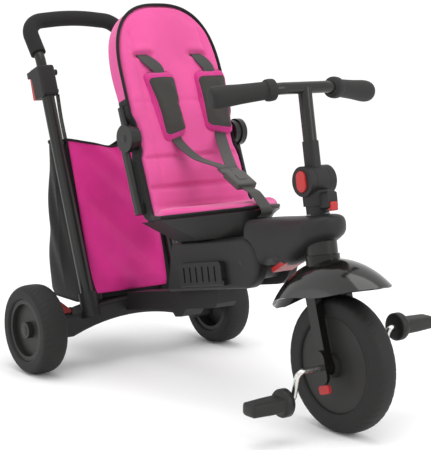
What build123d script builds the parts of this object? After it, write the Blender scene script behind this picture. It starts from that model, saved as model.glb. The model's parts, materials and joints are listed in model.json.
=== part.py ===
from build123d import *
import math
import os

os.makedirs("parts", exist_ok=True)

# A children's folding tricycle, in millimetres.
# X points forward, Y to the rider's left, Z up.  The rear axle stands over x = 0 while the pieces
# are drawn; the export moves the model so that the origin is below the middle of its box.

# Wheels
REAR_WHEEL_R = 85.0
REAR_WHEEL_W = 52.0
REAR_TRACK = 430.0
REAR_HUB_R = 58.0
HUB_RIM = 8.0
HUB_RIM_INSET = 4.0
HUB_WEB_INNER = 2.0
HUB_WEB_OUTER = 12.0
HUB_CAP_R = 15.5
HUB_CAP_INSET = 3.0
NUT_R = 6.6
NUT_INSET = 10.0
FRONT_WHEEL_R = 113.0
FRONT_WHEEL_W = 44.0
FRONT_HUB_R = 78.0
FRONT_HUB_INSET = 5.0
FRONT_BOSS_R = 20.0
FRONT_BOSS_GAP = 0.5
WHEELBASE = 625.0
TYRE_SHOULDER = 13.0
FRONT_TYRE_SHOULDER = 15.0
AXLE_R = 5.0

# Fits and gaps
RUN_GAP = 0.06
SLIDE_GAP = 0.10
PART_GAP = 0.4
WALL = 4.0

# Rear beam and spine
BEAM_DEPTH = 46.0
BEAM_END_HALF = 188.5
BEAM_END_BOTTOM = 63.0
BEAM_END_TOP = 108.0
BEAM_ARCH_BOTTOM = 90.0
BEAM_ARCH_TOP = 127.0
BEAM_KNEE = 142.0
BEAM_ROUND = 7.0
TUBE_SOCKET_WALL = 5.0
TUBE_SOCKET_FLOOR = 8.0
AXLE_SOCKET = 70.0
SPINE_HALF = 22.0
SPINE_THICK = 35.0
SPINE_REACH = 318.0
SPINE_NOSE_CHAMFER = 8.0
SPINE_FOOT_SETBACK = 96.0
SPINE_FOOT_TOP = 50.0
SPINE_FOOT_TAPER = 15.0
SPINE_FOOT_DROP = 15.0

# Push handle
TUBE_HALF_SPACING = 108.0
TUBE_FOOT_X = 20.0
TUBE_FOOT_Z = 125.0
TUBE_TILT = 20.2
TUBE_R = 12.5
TUBE_LENGTH = 430.0
TUBE_SINK = 20.0
INNER_TUBE_R = 10.2
INNER_TUBE_WALL = 1.6
INNER_TUBE_START = 120.0
HANDLE_LEAN = 55.4
HANDLE_RISE = 70.4
HANDLE_ARCH = 11.0
FOAM_START = 0.14
HANDLE_CORNER_R = 38.0
HANDLE_BEND_R = 60.0
HANDLE_ARCH_R = 500.0
FOAM_R = 15.5
CLAMP_HEIGHT = 62.0
CLAMP_FRONT = 17.0
CLAMP_BACK = 23.0
CLAMP_HALF = 18.0
CLAMP_SEAT = 15.0
CLAMP_ROUND = 5.0
CLAMP_EAR_HALF = 6.0
STUD_INSET = 12.0
LOWER_STUD_R = 4.0
LOWER_STUD_LENGTH = 7.0
LEVER_GAP = 1.0
LEVER_DROP = 9.0
LEVER_LIP = 3.0
LEVER_LENGTH = 46.0
LEVER_THICK = 9.0
LEVER_HALF = 12.8
LEVER_PIN_R = 2.5
STUD_R = 6.0
STUD_LENGTH = 11.0
HANDLE_BEND_GAP = 17.0
INNER_TUBE_BEND = TUBE_LENGTH - CLAMP_SEAT + CLAMP_HEIGHT + HANDLE_BEND_GAP

# Body, in a frame that slopes up towards the front
BODY_X = 304.0
BODY_Z = 322.0
BODY_SLOPE = 10.5
BODY_HALF = 48.0
BODY_TOP = -42.0
BODY_HEIGHT = 90.0
BODY_REAR_TOP = -99.0
BODY_REAR_BOTTOM = -129.0
BODY_ROUND = 9.0
FOLD_REACH = 100.0
FOLD_PIN_R = 6.0
TONGUE_HALF = 25.7
TONGUE_R = 32.0
TONGUE_STEP = 5.0
TONGUE_END_GAP = 12.0
TONGUE_END_HALF = 12.0

# Front arm and head
HEAD_SETBACK = 59.0
HEAD_RISE = 222.0
HEAD_X = WHEELBASE - HEAD_SETBACK
HEAD_Z = FRONT_WHEEL_R + HEAD_RISE
HEAD_TILT = 10.4
NOSE_R = 44.0
NOSE_LOW = -27.0
NOSE_HIGH = 17.0
ARM_CREST_REAR_RISE = 72.3
ARM_CREST_REAR_REACH = 8.0
ARM_CREST_SETBACK = 21.0
ARM_CREST_FRONT_RISE = 18.0
ARM_UNDER_REACH = 44.0
ARM_UNDER_REAR_DROP = 14.7
ARM_UNDER_SETBACK = 10.0
ARM_UNDER_FRONT_DROP = 41.0
SCOOP_DEPTH = 15.0
SCOOP_REAR_MARGIN = 6.0
SCOOP_FRONT_MARGIN = 22.0
FOLD_LEVER_HALF = 21.7
FOLD_LEVER_THICK = 8.0
FOLD_LEVER_SINK = 1.5
FOLD_LEVER_MARGIN = 5.0
FOLD_LEVER_SETBACK = 3.0
HEAD_TUBE_R = 20.0
HEAD_COLLAR_R = 26.0
HEAD_COLLAR_DROP = 22.0
BUSH_R = 17.0
BUSH_LENGTH = 14.0
STEERER_R = 12.5

# Fork and fender
CROWN_R = 28.5
CROWN_LENGTH = 47.0
LEG_INNER = 27.0
LEG_THICK = 14.0
LEG_WIDTH = 22.0
LEG_END_R = 14.0
LEG_TOP_INSET = 3.0
WHEEL_CLEARANCE = 9.0
BRIDGE_THICK = 15.0
BRIDGE_INNER_R = FRONT_WHEEL_R + WHEEL_CLEARANCE
BRIDGE_OUTER_R = BRIDGE_INNER_R + BRIDGE_THICK
BRIDGE_ANGLE = 107.0
BRIDGE_SPREAD = 11.0
FENDER_RISE = 60.0
FENDER_RIDGE_R = FRONT_WHEEL_R + FENDER_RISE
FENDER_ARCH_R = 49.0
FENDER_WALL = 3.0
FENDER_LENGTH = 258.0
FENDER_WRAP = 103.0
FENDER_TIP = 6.0
FENDER_SECTIONS = 13
FENDER_MID_BACK = 31.0
COVER_LENGTH = 56.0
COVER_WIDTH = 28.0
COVER_THICK = 6.0
TAB_WIDTH = 24.0
TAB_HEIGHT = 14.0
TAB_STEM = 8.0
TAB_STEM_TOP = 22.0
TAB_STEM_THICK = 1.7
TAB_ROUND = 4.0

# Crank and pedals
CRANK_R = 5.0
CRANK_RADIUS = 50.0
CRANK_LEAN = 13.0
CRANK_ARM_Y = 93.0
CRANK_BEND_R = 11.0
CRANK_END_Y = 182.0
PEDAL_FLANGE_R = 22.0
PEDAL_FLANGE_W = 12.0
PEDAL_CAP = 10.0
PEDAL_END_GAP = 2.0
PEDAL_ROUND = 7.0
PEDAL_LENGTH = 40.0
PEDAL_THICK = 22.0

# Steering column and handlebar, along the head axis
COLUMN_NECK_R = 19.0
COLUMN_COLLAR_R = 22.5
COLUMN_NECK_TOP = 33.0
COLUMN_COLLAR_TOP = 56.0
STEM_JOINT = 72.0
STEM_JOINT_R = 25.0
STEM_JOINT_HALF = 27.0
KNUCKLE_HALF = 13.7
STEM_PIN_R = 5.0
SLEEVE_R = 13.5
SLEEVE_TOP = 137.0
STEM_R = 11.5
STEM_SINK = 30.0
STEM_TOP = 225.0
BUTTON_LENGTH = 35.0
BUTTON_WIDTH = 22.0
BUTTON_PROUD = 4.5
BUTTON_DEPTH = 8.0
BUTTON_ROUND = 2.5
LOCK_HALF = 10.0
LOCK_FRONT = 40.0
LOCK_LOW = 24.0
LOCK_HIGH = 52.0
LOCK_ROUND = 4.0
LOCK_BUTTON_HEIGHT = 15.0
LOCK_BUTTON_TOP = 11.0
LOCK_BUTTON_DEPTH = 10.0
LOCK_BUTTON_ROUND = 3.0
LOCK_BUTTON_HALF = 7.5
LOCK_BUTTON_PROUD = 4.0
LOCK_TRAVEL = 3.0
BAR_R = 10.0
BAR_MID_HALF = 50.0
BAR_END_HALF = 168.0
BAR_SWEEP = 30.0
BAR_DROP = 13.0
BAR_BEND_R = 60.0
GRIP_R = 16.5
GRIP_LENGTH = 117.0
GRIP_CAP = 3.0
GRIP_ROUND = 5.0

# Seat, in the body frame (pan) and in a frame on the backrest hinge (back)
PAN_REAR = -95.0
PAN_REAR_HALF = 112.0
PAN_HALF = 135.0
PAN_NOSE = 124.0
PAN_NOSE_HALF = 42.0
PAN_NOSE_ROUND = 20.0
BELLY_REAR = -78.0
BELLY_REAR_HALF = 50.0
BELLY_HALF = 58.0
BELLY_NOSE = 96.0
BELLY_NOSE_HALF = 26.0
PAD_INSET = 4.0
PAD_THICK = 19.0
PAD_REAR = -62.0
PAD_NOSE_CUT = 20.0
PAD_CROWN_R = 1100.0
PAD_CROWN_X = 20.0
PAD_ROUND = 7.0
PAD_REAR_FLARE = 6.0
SEAT_GAP = 0.2
BACK_SETBACK = 120.0
BACK_RISE = 133.0
BACK_X = BODY_X - BACK_SETBACK
BACK_Z = BODY_Z + BACK_RISE
BACK_TILT = 21.5
BACK_HALF = 112.0
BACK_SHOULDER = 112.0
BACK_CURVE_U = 203.0
BACK_CURVE_HALF = 94.0
BACK_TOP = 252.0
BACK_TOP_HALF = 34.0
BACK_PAD_REAR = -2.0
BACK_PAD_FRONT = 12.0
BACK_CROWN_R = 620.0
BACK_SHELL_INSET = 5.0
BACK_SHELL_REAR = -16.0
POCKET_REAR = -28.0
POCKET_HEM = 62.0
LOWER_BACK_END = -160.0
LOWER_PAD_END = -136.0
FOLD_WEDGE_APEX = -4.0
FOLD_WEDGE_DEPTH = 34.0
FOLD_WEDGE_HALF = 27.0
CREASE_R = 2.5
CREASES = (-43.0, -100.0)
BACK_CROWN = 2.0
LOWER_BACK_TOP = -4.0
BACK_SHELL_LOW = 3.0
POCKET_ROUND = 8.0
BACK_TUBE_PROUD = 4.0
BACK_TUBE_ROUND = 5.0
SEAT_TUBE_ROUND = 4.0
SEAT_TUBE_TOE = 18.0
BACK_BOSS_R = 22.0
BACK_TUBE_W = 12.0
BACK_TUBE_D = 16.0
SEAT_TUBE_W = 11.0
HINGE_BOSS_R = 25.0
HINGE_PIN_R = 5.0
SEAT_TUBE_FOOT = -138.0

# Harness
STRAP_W = 25.0
STRAP_T = 2.0
SLOT_U = 152.0
SLOT_HALF = 60.0
SHOULDER_PAD_W = 52.0
SHOULDER_PAD_T = 13.0
SHOULDER_PAD_N = 22.0
SHOULDER_PAD_TOP = 116.0
SHOULDER_PAD_LOW = 9.0
SHOULDER_PAD_CORNER = 12.0
SHOULDER_PAD_ROUND = 5.0
STRAP_TUCK = 8.0
RIGHT_PAD_Y = (-46.0, -32.0)
LEFT_PAD_Y = (68.0, 62.0)
BUCKLE_REACH = 50.0
BUCKLE_RISE = 66.0
BUCKLE_TILT = 25.0
BUCKLE_LENGTH = 46.0
BUCKLE_WIDTH = 42.0
BUCKLE_THICK = 13.0
BUCKLE_BUTTON = 16.0
BUCKLE_TRAVEL = 2.0
BUCKLE_ROUND = 3.0
BUCKLE_BUTTON_PROUD = 1.0
BUCKLE_BUTTON_THICK = 3.0
CROTCH_END_INSET = 3.0
CROTCH_END_LIFT = 1.2
LOWER_STRAP_N = 29.5
LOWER_STRAP_U = -34.0
LOWER_STRAP_Y = (-28.0, 56.0)
LOWER_TONGUE_Y = (-10.5, 10.5)
TONGUE_LENGTH = 16.0
TONGUE_WIDTH = 19.0
TONGUE_THICK = 5.0

# Bag
BAG_TUBE_GAP = 3.5
BAG_HALF = TUBE_HALF_SPACING - TUBE_R - BAG_TUBE_GAP
BAG_WALL = 2.5
BAG_LOW = BEAM_ARCH_TOP + PART_GAP
BAG_FRONT_HEIGHT = 304.0
BAG_REAR_HEIGHT = 296.0
BAG_FRONT_LEAN = 92.0
BAG_REAR_LEAN = 8.0
BAG_FRONT_X = 6.0
BAG_DEPTH = 164.0
BAG_FRONT_LOW = (BAG_FRONT_X, BAG_LOW)
BAG_FRONT_TOP = (BAG_FRONT_X - BAG_FRONT_LEAN, BAG_LOW + BAG_FRONT_HEIGHT)
BAG_REAR_TOP = (BAG_FRONT_X - BAG_DEPTH - BAG_REAR_LEAN, BAG_LOW + BAG_REAR_HEIGHT)
BAG_REAR_LOW = (BAG_FRONT_X - BAG_DEPTH, BAG_LOW)
BAG_CORNER_R = 24.0
BAG_MOUTH_DEPTH = 12.0
BAG_STRAP_INSET = 8.0
BAG_STRAP_W = 14.0

# Footrests, brake pedal and screws
FOOT_REAR = -76.0
FOOT_FRONT = 54.0
FOOT_LOW = -124.0
FOOT_HEIGHT = 43.0
FOOT_THICK = 9.0
FOOT_GAP = 0.6
FOOT_PIN_R = 2.0
FOOT_LUG = 4.0
FOOT_RIBS = 6
FOOT_ROUND = 9.0
FOOT_RIB_HALF = 2.0
FOOT_RIB_DEPTH = 2.0
FOOT_RIB_MARGIN = 8.0
BRAKE_INNER = 147.0
BRAKE_OUTER = 183.0
BRAKE_REACH = 62.0
BRAKE_THICK = 7.0
BRAKE_LIFT = 12.0
BRAKE_PIN_X = 15.0
BRAKE_PIN_R = 2.5
BRAKE_PIN_RISE = 6.0
BRAKE_EAR = 3.5
BRAKE_EYE_R = 4.5
BRAKE_ROUND = 8.0
BRAKE_EAR_HALF = 6.0
SCREW_R = 1.8
SCREW_HEAD_R = 3.5
SCREW_HEAD_H = 2.0
SCREW_BOSS_R = 5.0
SCREW_EDGE = 16.0
SCREW_REAR = 34.0
SCREW_FRONT = 58.0

# Frames that the pieces are drawn in; each is only tilted about Y
BODY = Pos(BODY_X, 0, BODY_Z) * Rot(0, -BODY_SLOPE, 0)
BACK = Pos(BACK_X, 0, BACK_Z) * Rot(0, -BACK_TILT, 0)
HEAD = Pos(HEAD_X, 0, HEAD_Z) * Rot(0, -HEAD_TILT, 0)
FRONT_AXLE = Pos(WHEELBASE, 0, FRONT_WHEEL_R)
LEG_LEAN = Rot(0, 90 - BRIDGE_ANGLE, 0)
BUCKLE = Pos(BODY_X + BUCKLE_REACH, 0, BODY_Z + BUCKLE_RISE) * Rot(0, BUCKLE_TILT, 0)
SIDES = {"right": -1, "left": 1}
TUBE = {side: Pos(TUBE_FOOT_X, side * TUBE_HALF_SPACING, TUBE_FOOT_Z) * Rot(0, -TUBE_TILT, 0)
        for side in SIDES.values()}

HANDLE_BACK_X = TUBE_FOOT_X - INNER_TUBE_BEND * math.sin(math.radians(TUBE_TILT)) - HANDLE_LEAN
BOX_MID_X = (WHEELBASE + FRONT_WHEEL_R + HANDLE_BACK_X - FOAM_R) / 2
FAR = 1000.0

nodes = {}
pins = []


def slab(outline, y_from, y_to):
    """Extrude an outline drawn in x and z from y_from to y_to."""
    return Pos(0, y_to, 0) * extrude(Plane.XZ * make_face(outline), amount=y_to - y_from)


def loop(*points):
    """Closed run of straight lines."""
    return Polyline(*points, close=True)


def rod(x, z, radius, y_from, y_to):
    """Round bar along Y."""
    return Pos(x, (y_from + y_to) / 2, z) * Rot(90, 0, 0) * Cylinder(radius, abs(y_to - y_from))


def post(radius, z_from, z_to, x=0.0, y=0.0):
    """Round bar along Z."""
    return Pos(x, y, (z_from + z_to) / 2) * Cylinder(radius, abs(z_to - z_from))


def block(x_from, x_to, y_from, y_to, z_from, z_to):
    """Box between two corners."""
    middle = Pos((x_from + x_to) / 2, (y_from + y_to) / 2, (z_from + z_to) / 2)
    return middle * Box(abs(x_to - x_from), abs(y_to - y_from), abs(z_to - z_from))


def rod_along_x(x_from, x_to, y, z, radius):
    """Round bar along X."""
    return Pos((x_from + x_to) / 2, y, z) * Rot(0, 90, 0) * Cylinder(radius, x_to - x_from)


def ring(inner, outer, y_from, y_to):
    """Ring about the Y axis."""
    return rod(0, 0, outer, y_from, y_to) - rod(0, 0, inner, y_from - 1, y_to + 1)


def tube_along(points, radii, radius):
    """Round bar along straight runs joined by arcs."""
    path = FilletPolyline(*points, radius=radii)
    return sweep(Plane(origin=path @ 0, z_dir=path % 0) * Circle(radius), path=path)


def bar_between(start, end, radius):
    """Round bar from one point to another."""
    axis = end - start
    frame = Plane(origin=start, z_dir=axis)
    return extrude(frame * Circle(radius), amount=axis.length)


def strap_between(start, end, width, thick):
    """Flat strap whose width lies along Y."""
    axis = Vector(*end) - Vector(*start)
    frame = Plane(origin=start, x_dir=(0, 1, 0), z_dir=axis)
    return extrude(frame * Rectangle(width, thick), amount=axis.length)


def together(shapes):
    """Several separate pieces as one group."""
    group = shapes[0]
    for shape in shapes[1:]:
        group += shape
    return group


def both_sides(shape):
    """A piece and its mirror image."""
    return shape + mirror(shape, about=Plane.XZ)


def half(shape, side):
    """The part of a shape on one side of the middle plane."""
    return shape & block(-FAR, FAR, 0, side * FAR, -FAR, FAR)


def on_side(shape, side):
    """A piece drawn on the left, or its mirror image on the right."""
    return shape if side > 0 else mirror(shape, about=Plane.XZ)


# Rear wheels, beam and spine
def rear_wheels():
    half_w = REAR_WHEEL_W / 2
    band = REAR_WHEEL_R - REAR_HUB_R
    profile = Pos(REAR_HUB_R + band / 2, 0) * Rectangle(band, REAR_WHEEL_W)
    profile = fillet(profile.vertices().group_by(Axis.X)[-1], TYRE_SHOULDER)
    tyre = revolve(profile, Axis.Y)
    bore = AXLE_R + RUN_GAP
    nut_floor = half_w - NUT_INSET
    hub = ring(REAR_HUB_R - HUB_RIM, REAR_HUB_R, -half_w + HUB_RIM_INSET, half_w - HUB_RIM_INSET)
    hub += ring(bore, REAR_HUB_R - HUB_RIM + 1, HUB_WEB_INNER, HUB_WEB_OUTER)
    hub += ring(bore, HUB_CAP_R, -half_w, half_w - HUB_CAP_INSET)
    hub -= rod(0, 0, NUT_R + PART_GAP, nut_floor, half_w)
    for name, side in SIDES.items():
        place = Pos(0, side * REAR_TRACK / 2, REAR_WHEEL_R)
        nodes["rear_tyre_" + name] = place * on_side(tyre, side)
        nodes["rear_hub_" + name] = place * on_side(hub, side)
    nut_y = REAR_TRACK / 2 + nut_floor + PART_GAP
    nut_end = REAR_TRACK / 2 + half_w - HUB_CAP_INSET - 2 * PART_GAP
    axle = rod(0, REAR_WHEEL_R, AXLE_R, BEAM_END_HALF - AXLE_SOCKET, nut_end)
    axle += rod(0, REAR_WHEEL_R, NUT_R, nut_y, nut_end)
    nodes["rear_axles"] = both_sides(axle)


def rear_beam():
    low, high, end, knee = BEAM_END_BOTTOM, BEAM_END_TOP, BEAM_END_HALF, BEAM_KNEE
    outline = Polyline((knee, low), (end, low), (end, high), (knee, high))
    outline += ThreePointArc((knee, high), (0, BEAM_ARCH_TOP), (-knee, high))
    outline += Polyline((-knee, high), (-end, high), (-end, low), (-knee, low))
    outline += ThreePointArc((-knee, low), (0, BEAM_ARCH_BOTTOM), (knee, low))
    beam = Pos(-BEAM_DEPTH / 2, 0, 0) * extrude(Plane.YZ * make_face(outline), amount=BEAM_DEPTH)
    faces = beam.faces().sort_by(Axis.X)
    beam = fillet(faces[-1].edges() + faces[0].edges(), BEAM_ROUND)
    pin_z = BEAM_END_TOP + BRAKE_PIN_RISE
    ear = block(BRAKE_PIN_X - BRAKE_EAR_HALF, BRAKE_PIN_X + BRAKE_EAR_HALF, 0, BRAKE_EAR,
                BEAM_END_TOP - BEAM_ROUND - 3, pin_z + BRAKE_EAR_HALF)
    for y in (-BRAKE_INNER + PART_GAP, -BRAKE_OUTER - PART_GAP - BRAKE_EAR):
        beam += Pos(0, y, 0) * ear
    beam -= rod(BRAKE_PIN_X, pin_z, BRAKE_PIN_R, -BRAKE_OUTER - 2 * BRAKE_EAR, -BRAKE_INNER + 2 * BRAKE_EAR)
    for side in SIDES.values():
        beam += TUBE[side] * post(TUBE_R + TUBE_SOCKET_WALL, -TUBE_SINK - TUBE_SOCKET_FLOOR, TUBE_SINK)
        beam -= TUBE[side] * post(TUBE_R, -TUBE_SINK, TUBE_SINK + FAR)
        beam -= rod(0, REAR_WHEEL_R, AXLE_R, side * (BEAM_END_HALF - AXLE_SOCKET), side * FAR)
    nodes["rear_beam"] = beam


def spine():
    """Sloping bar under the body, with a small foot on its underside."""
    rise = math.tan(math.radians(BODY_SLOPE))
    start = BEAM_DEPTH / 2
    body_low = (BODY_TOP - BODY_HEIGHT) / math.cos(math.radians(BODY_SLOPE))

    def upper(x):
        return BODY_Z + (x - BODY_X) * rise + body_low

    def lower(x, drop=0.0):
        return (x, upper(x) - SPINE_THICK - drop)

    foot_front = SPINE_REACH - SPINE_FOOT_SETBACK
    foot_rear = foot_front - SPINE_FOOT_TOP
    foot = [lower(foot_front), lower(foot_front - SPINE_FOOT_TAPER, SPINE_FOOT_DROP),
            lower(foot_rear + SPINE_FOOT_TAPER, SPINE_FOOT_DROP), lower(foot_rear)]
    nose = [(SPINE_REACH, upper(SPINE_REACH) - SPINE_THICK + SPINE_NOSE_CHAMFER),
            lower(SPINE_REACH - SPINE_NOSE_CHAMFER)]
    outline = loop((start, upper(start)), (SPINE_REACH, upper(SPINE_REACH)), *nose, *foot, lower(start))
    nodes["spine"] = slab(outline, -SPINE_HALF, SPINE_HALF)


# Push handle, its tubes, clamps and levers
def push_handle():
    top = TUBE_LENGTH + CLAMP_HEIGHT - CLAMP_SEAT
    low = TUBE_LENGTH - CLAMP_SEAT
    slide = INNER_TUBE_R + SLIDE_GAP
    half_lever = LEVER_THICK / 2
    pin_x = -CLAMP_BACK - LEVER_GAP - half_lever
    pin_z = top - LEVER_DROP
    tip_z = pin_z - LEVER_LENGTH
    for name, side in SIDES.items():
        tube = post(TUBE_R, -TUBE_SINK, TUBE_LENGTH) - post(slide, -FAR, FAR)
        nodes["handle_tube_" + name] = TUBE[side] * tube
        clamp = block(-CLAMP_BACK, CLAMP_FRONT, -CLAMP_HALF, CLAMP_HALF, low, top)
        clamp = fillet(clamp.edges(), CLAMP_ROUND)
        ear = block(pin_x - half_lever, -CLAMP_BACK + CLAMP_ROUND + 1, LEVER_HALF + PART_GAP, CLAMP_HALF,
                    pin_z - CLAMP_EAR_HALF, pin_z + CLAMP_EAR_HALF)
        clamp += both_sides(ear)
        clamp -= rod(pin_x, pin_z, LEVER_PIN_R, -FAR, FAR)
        inward = -side
        clamp += rod(0, top - STUD_INSET, STUD_R, 0, inward * (CLAMP_HALF + STUD_LENGTH))
        clamp += rod(0, low + STUD_INSET, LOWER_STUD_R, 0, inward * (CLAMP_HALF + LOWER_STUD_LENGTH))
        clamp -= post(TUBE_R, low - 1, TUBE_LENGTH) + post(slide, low - 1, top + 1)
        nodes["handle_clamp_" + name] = TUBE[side] * clamp
        outline = loop((pin_x - half_lever, pin_z), (pin_x + half_lever, pin_z),
                       (pin_x + half_lever, tip_z), (pin_x - 1, tip_z - LEVER_LIP - 2),
                       (pin_x - half_lever - LEVER_LIP, tip_z - LEVER_LIP))
        lever = slab(outline, -LEVER_HALF, LEVER_HALF)
        lever += rod(pin_x, pin_z, half_lever, -LEVER_HALF, LEVER_HALF)
        lever -= rod(pin_x, pin_z, LEVER_PIN_R + RUN_GAP, -FAR, FAR)
        nodes["clamp_lever_" + name] = TUBE[side] * lever
        pins.append(TUBE[side] * rod(pin_x, pin_z, LEVER_PIN_R, -CLAMP_HALF, CLAMP_HALF))


def handle_loop():
    """Inner tube bent to a loop, with foam round its upper part."""
    start, bend = [(TUBE[-1] * Pos(0, 0, z)).position for z in (INNER_TUBE_START, INNER_TUBE_BEND)]
    corner = bend + Vector(-HANDLE_LEAN, 0, HANDLE_RISE)
    right = [start, bend, corner]
    left = [Vector(p.X, -p.Y, p.Z) for p in reversed(right)]
    middle = Vector(corner.X, 0, corner.Z + HANDLE_ARCH)
    radii = [HANDLE_BEND_R, HANDLE_CORNER_R, HANDLE_ARCH_R, HANDLE_CORNER_R, HANDLE_BEND_R]
    path = right + [middle] + left
    handle = tube_along(path, radii, INNER_TUBE_R) - tube_along(path, radii, INNER_TUBE_R - INNER_TUBE_WALL)
    nodes["push_handle"] = handle
    foam_start = bend + (corner - bend) * FOAM_START
    foam_end = Vector(foam_start.X, -foam_start.Y, foam_start.Z)
    foam_path = [foam_start, corner, middle, left[0], foam_end]
    foam_radii = radii[1:-1]
    foam = tube_along(foam_path, foam_radii, FOAM_R) - tube_along(foam_path, foam_radii, INNER_TUBE_R)
    nodes["foam_grip"] = foam


# Body shells, seat shell and footrests, in the body frame
def body_profile(inset):
    """Body side outline: slanted rear end, round front end about the fold pin."""
    top = BODY_TOP - inset
    low = BODY_TOP - BODY_HEIGHT + inset
    radius = BODY_HEIGHT / 2 - inset
    mid = BODY_TOP - BODY_HEIGHT / 2
    rear = [(BODY_REAR_TOP + inset, top), (BODY_REAR_BOTTOM + inset, low)]
    outline = Polyline((FOLD_REACH, top), *rear, (FOLD_REACH, low))
    return outline + ThreePointArc((FOLD_REACH, low), (FOLD_REACH + radius, mid), (FOLD_REACH, top))


def screw_places():
    """Where the body screws stand, in x and z."""
    low = BODY_TOP - BODY_HEIGHT + SCREW_EDGE
    high = BODY_TOP - SCREW_EDGE
    return [(x, z) for x in (BODY_REAR_TOP + SCREW_REAR, FOLD_REACH - SCREW_FRONT) for z in (low, high)]


def body_shells():
    mid = BODY_TOP - BODY_HEIGHT / 2
    solid = slab(body_profile(0), -BODY_HALF, BODY_HALF)
    solid = fillet(solid.edges().filter_by(GeomType.LINE).filter_by(Axis.X), BODY_ROUND)
    slot_start = FOLD_REACH - BODY_HEIGHT / 2
    inside = slab(body_profile(WALL), -BODY_HALF + WALL, BODY_HALF - WALL)
    inside &= block(-FAR, slot_start - WALL, -FAR, FAR, -FAR, FAR)
    slot_half = TONGUE_HALF + PART_GAP
    shell = solid - inside
    for x, z in screw_places():
        shell += rod(x, z, SCREW_BOSS_R, -BODY_HALF + 1, BODY_HALF - 1)
        shell -= rod(x, z, SCREW_R, -BODY_HALF / 2, FAR)
        shell -= rod(x, z, SCREW_HEAD_R, BODY_HALF - SCREW_HEAD_H, FAR)
    shell -= block(slot_start - 2 * WALL, FAR, -slot_half, slot_half, -FAR, FAR)
    shell -= rod(FOLD_REACH, mid, FOLD_PIN_R, -FAR, FAR)
    pin_y, pin_z = foot_hinge()
    lug_half = FOOT_THICK / 2 - PART_GAP
    pin_from = FOOT_REAR - PART_GAP - FOOT_LUG
    pin_to = FOOT_FRONT + PART_GAP + FOOT_LUG
    for start in (pin_from, pin_to - FOOT_LUG):
        lug = block(start, start + FOOT_LUG, BODY_HALF - WALL / 2, pin_y + lug_half,
                    pin_z - lug_half, pin_z + lug_half)
        shell += both_sides(lug)
    foot_pins = both_sides(rod_along_x(pin_from, pin_to, pin_y, pin_z, FOOT_PIN_R))
    shell -= foot_pins
    for name, side in SIDES.items():
        nodes["body_shell_" + name] = BODY * half(shell, side)
    pins.append(BODY * foot_pins)
    pins.append(BODY * rod(FOLD_REACH, mid, FOLD_PIN_R, -BODY_HALF + 1, BODY_HALF - 1))
    head_y = BODY_HALF - SCREW_HEAD_H
    shank = -BODY_HALF / 2 + 2
    screws = [rod(x, z, SCREW_R, shank, head_y + 1) + rod(x, z, SCREW_HEAD_R, head_y, BODY_HALF)
              for x, z in screw_places()]
    nodes["body_screws"] = BODY * together(screws)


def foot_hinge():
    """Footrest hinge line, as y and z in the body frame."""
    return BODY_HALF + FOOT_GAP + FOOT_THICK / 2, FOOT_LOW + FOOT_THICK / 2


def footrests():
    near = BODY_HALF + FOOT_GAP
    far = near + FOOT_THICK
    top = FOOT_LOW + FOOT_HEIGHT
    pin_y, pin_z = foot_hinge()
    rest = block(FOOT_REAR, FOOT_FRONT, near, far, pin_z, top)
    rest = fillet(rest.edges().filter_by(Axis.Y).group_by(Axis.Z)[-1], FOOT_ROUND)
    rest += rod_along_x(FOOT_REAR, FOOT_FRONT, pin_y, pin_z, FOOT_THICK / 2)
    pitch = (FOOT_FRONT - FOOT_REAR) / (FOOT_RIBS + 1)
    for i in range(FOOT_RIBS):
        x = FOOT_REAR + (i + 1) * pitch
        rest -= block(x - FOOT_RIB_HALF, x + FOOT_RIB_HALF, far - FOOT_RIB_DEPTH, far + 1,
                      FOOT_LOW + FOOT_RIB_MARGIN, top - FOOT_RIB_MARGIN)
    rest -= rod_along_x(-FAR, FAR, pin_y, pin_z, FOOT_PIN_R + RUN_GAP)
    for name, side in SIDES.items():
        nodes["footrest_" + name] = BODY * on_side(rest, side)


def pan_outline(rear, rear_half, side_half, nose, nose_half, inset=0.0):
    """Pan outline in plan: straight rear, flaring sides, tapered front with a round nose."""
    rear += inset
    rear_half -= inset
    side_half -= inset
    nose -= inset
    nose_half -= inset
    taper = nose - PAN_NOSE_ROUND
    outline = Polyline((taper, nose_half), (0, side_half), (rear, rear_half),
                       (rear, -rear_half), (0, -side_half), (taper, -nose_half))
    return make_face(outline + ThreePointArc((taper, -nose_half), (nose, 0), (taper, nose_half)))


def back_outline(inset=0.0, bottom=0.0):
    """Backrest outline in (y, u): straight sides, arched shoulders, short straight top."""
    side = BACK_HALF - inset
    curve = BACK_CURVE_HALF - inset
    top = BACK_TOP - inset
    outline = Polyline((-side, BACK_SHOULDER), (-side, bottom), (side, bottom), (side, BACK_SHOULDER))
    curve_u = BACK_CURVE_U - inset
    outline += ThreePointArc((side, BACK_SHOULDER), (curve, curve_u), (BACK_TOP_HALF, top))
    outline += Line((BACK_TOP_HALF, top), (-BACK_TOP_HALF, top))
    return outline + ThreePointArc((-BACK_TOP_HALF, top), (-curve, curve_u), (-side, BACK_SHOULDER))


def back_slab(outline, n_from, n_to):
    """Extrude an outline in (y, u) along the backrest's normal."""
    return Pos(n_from, 0, 0) * extrude(Plane.YZ * make_face(outline), amount=n_to - n_from)


def fold_wedge():
    """The gap between the two pads that lets the backrest fold forward."""
    mouth = FOLD_WEDGE_APEX + FOLD_WEDGE_DEPTH
    return slab(loop((FOLD_WEDGE_APEX, 0), (mouth, FOLD_WEDGE_HALF), (mouth, -FOLD_WEDGE_HALF)), -FAR, FAR)


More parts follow.
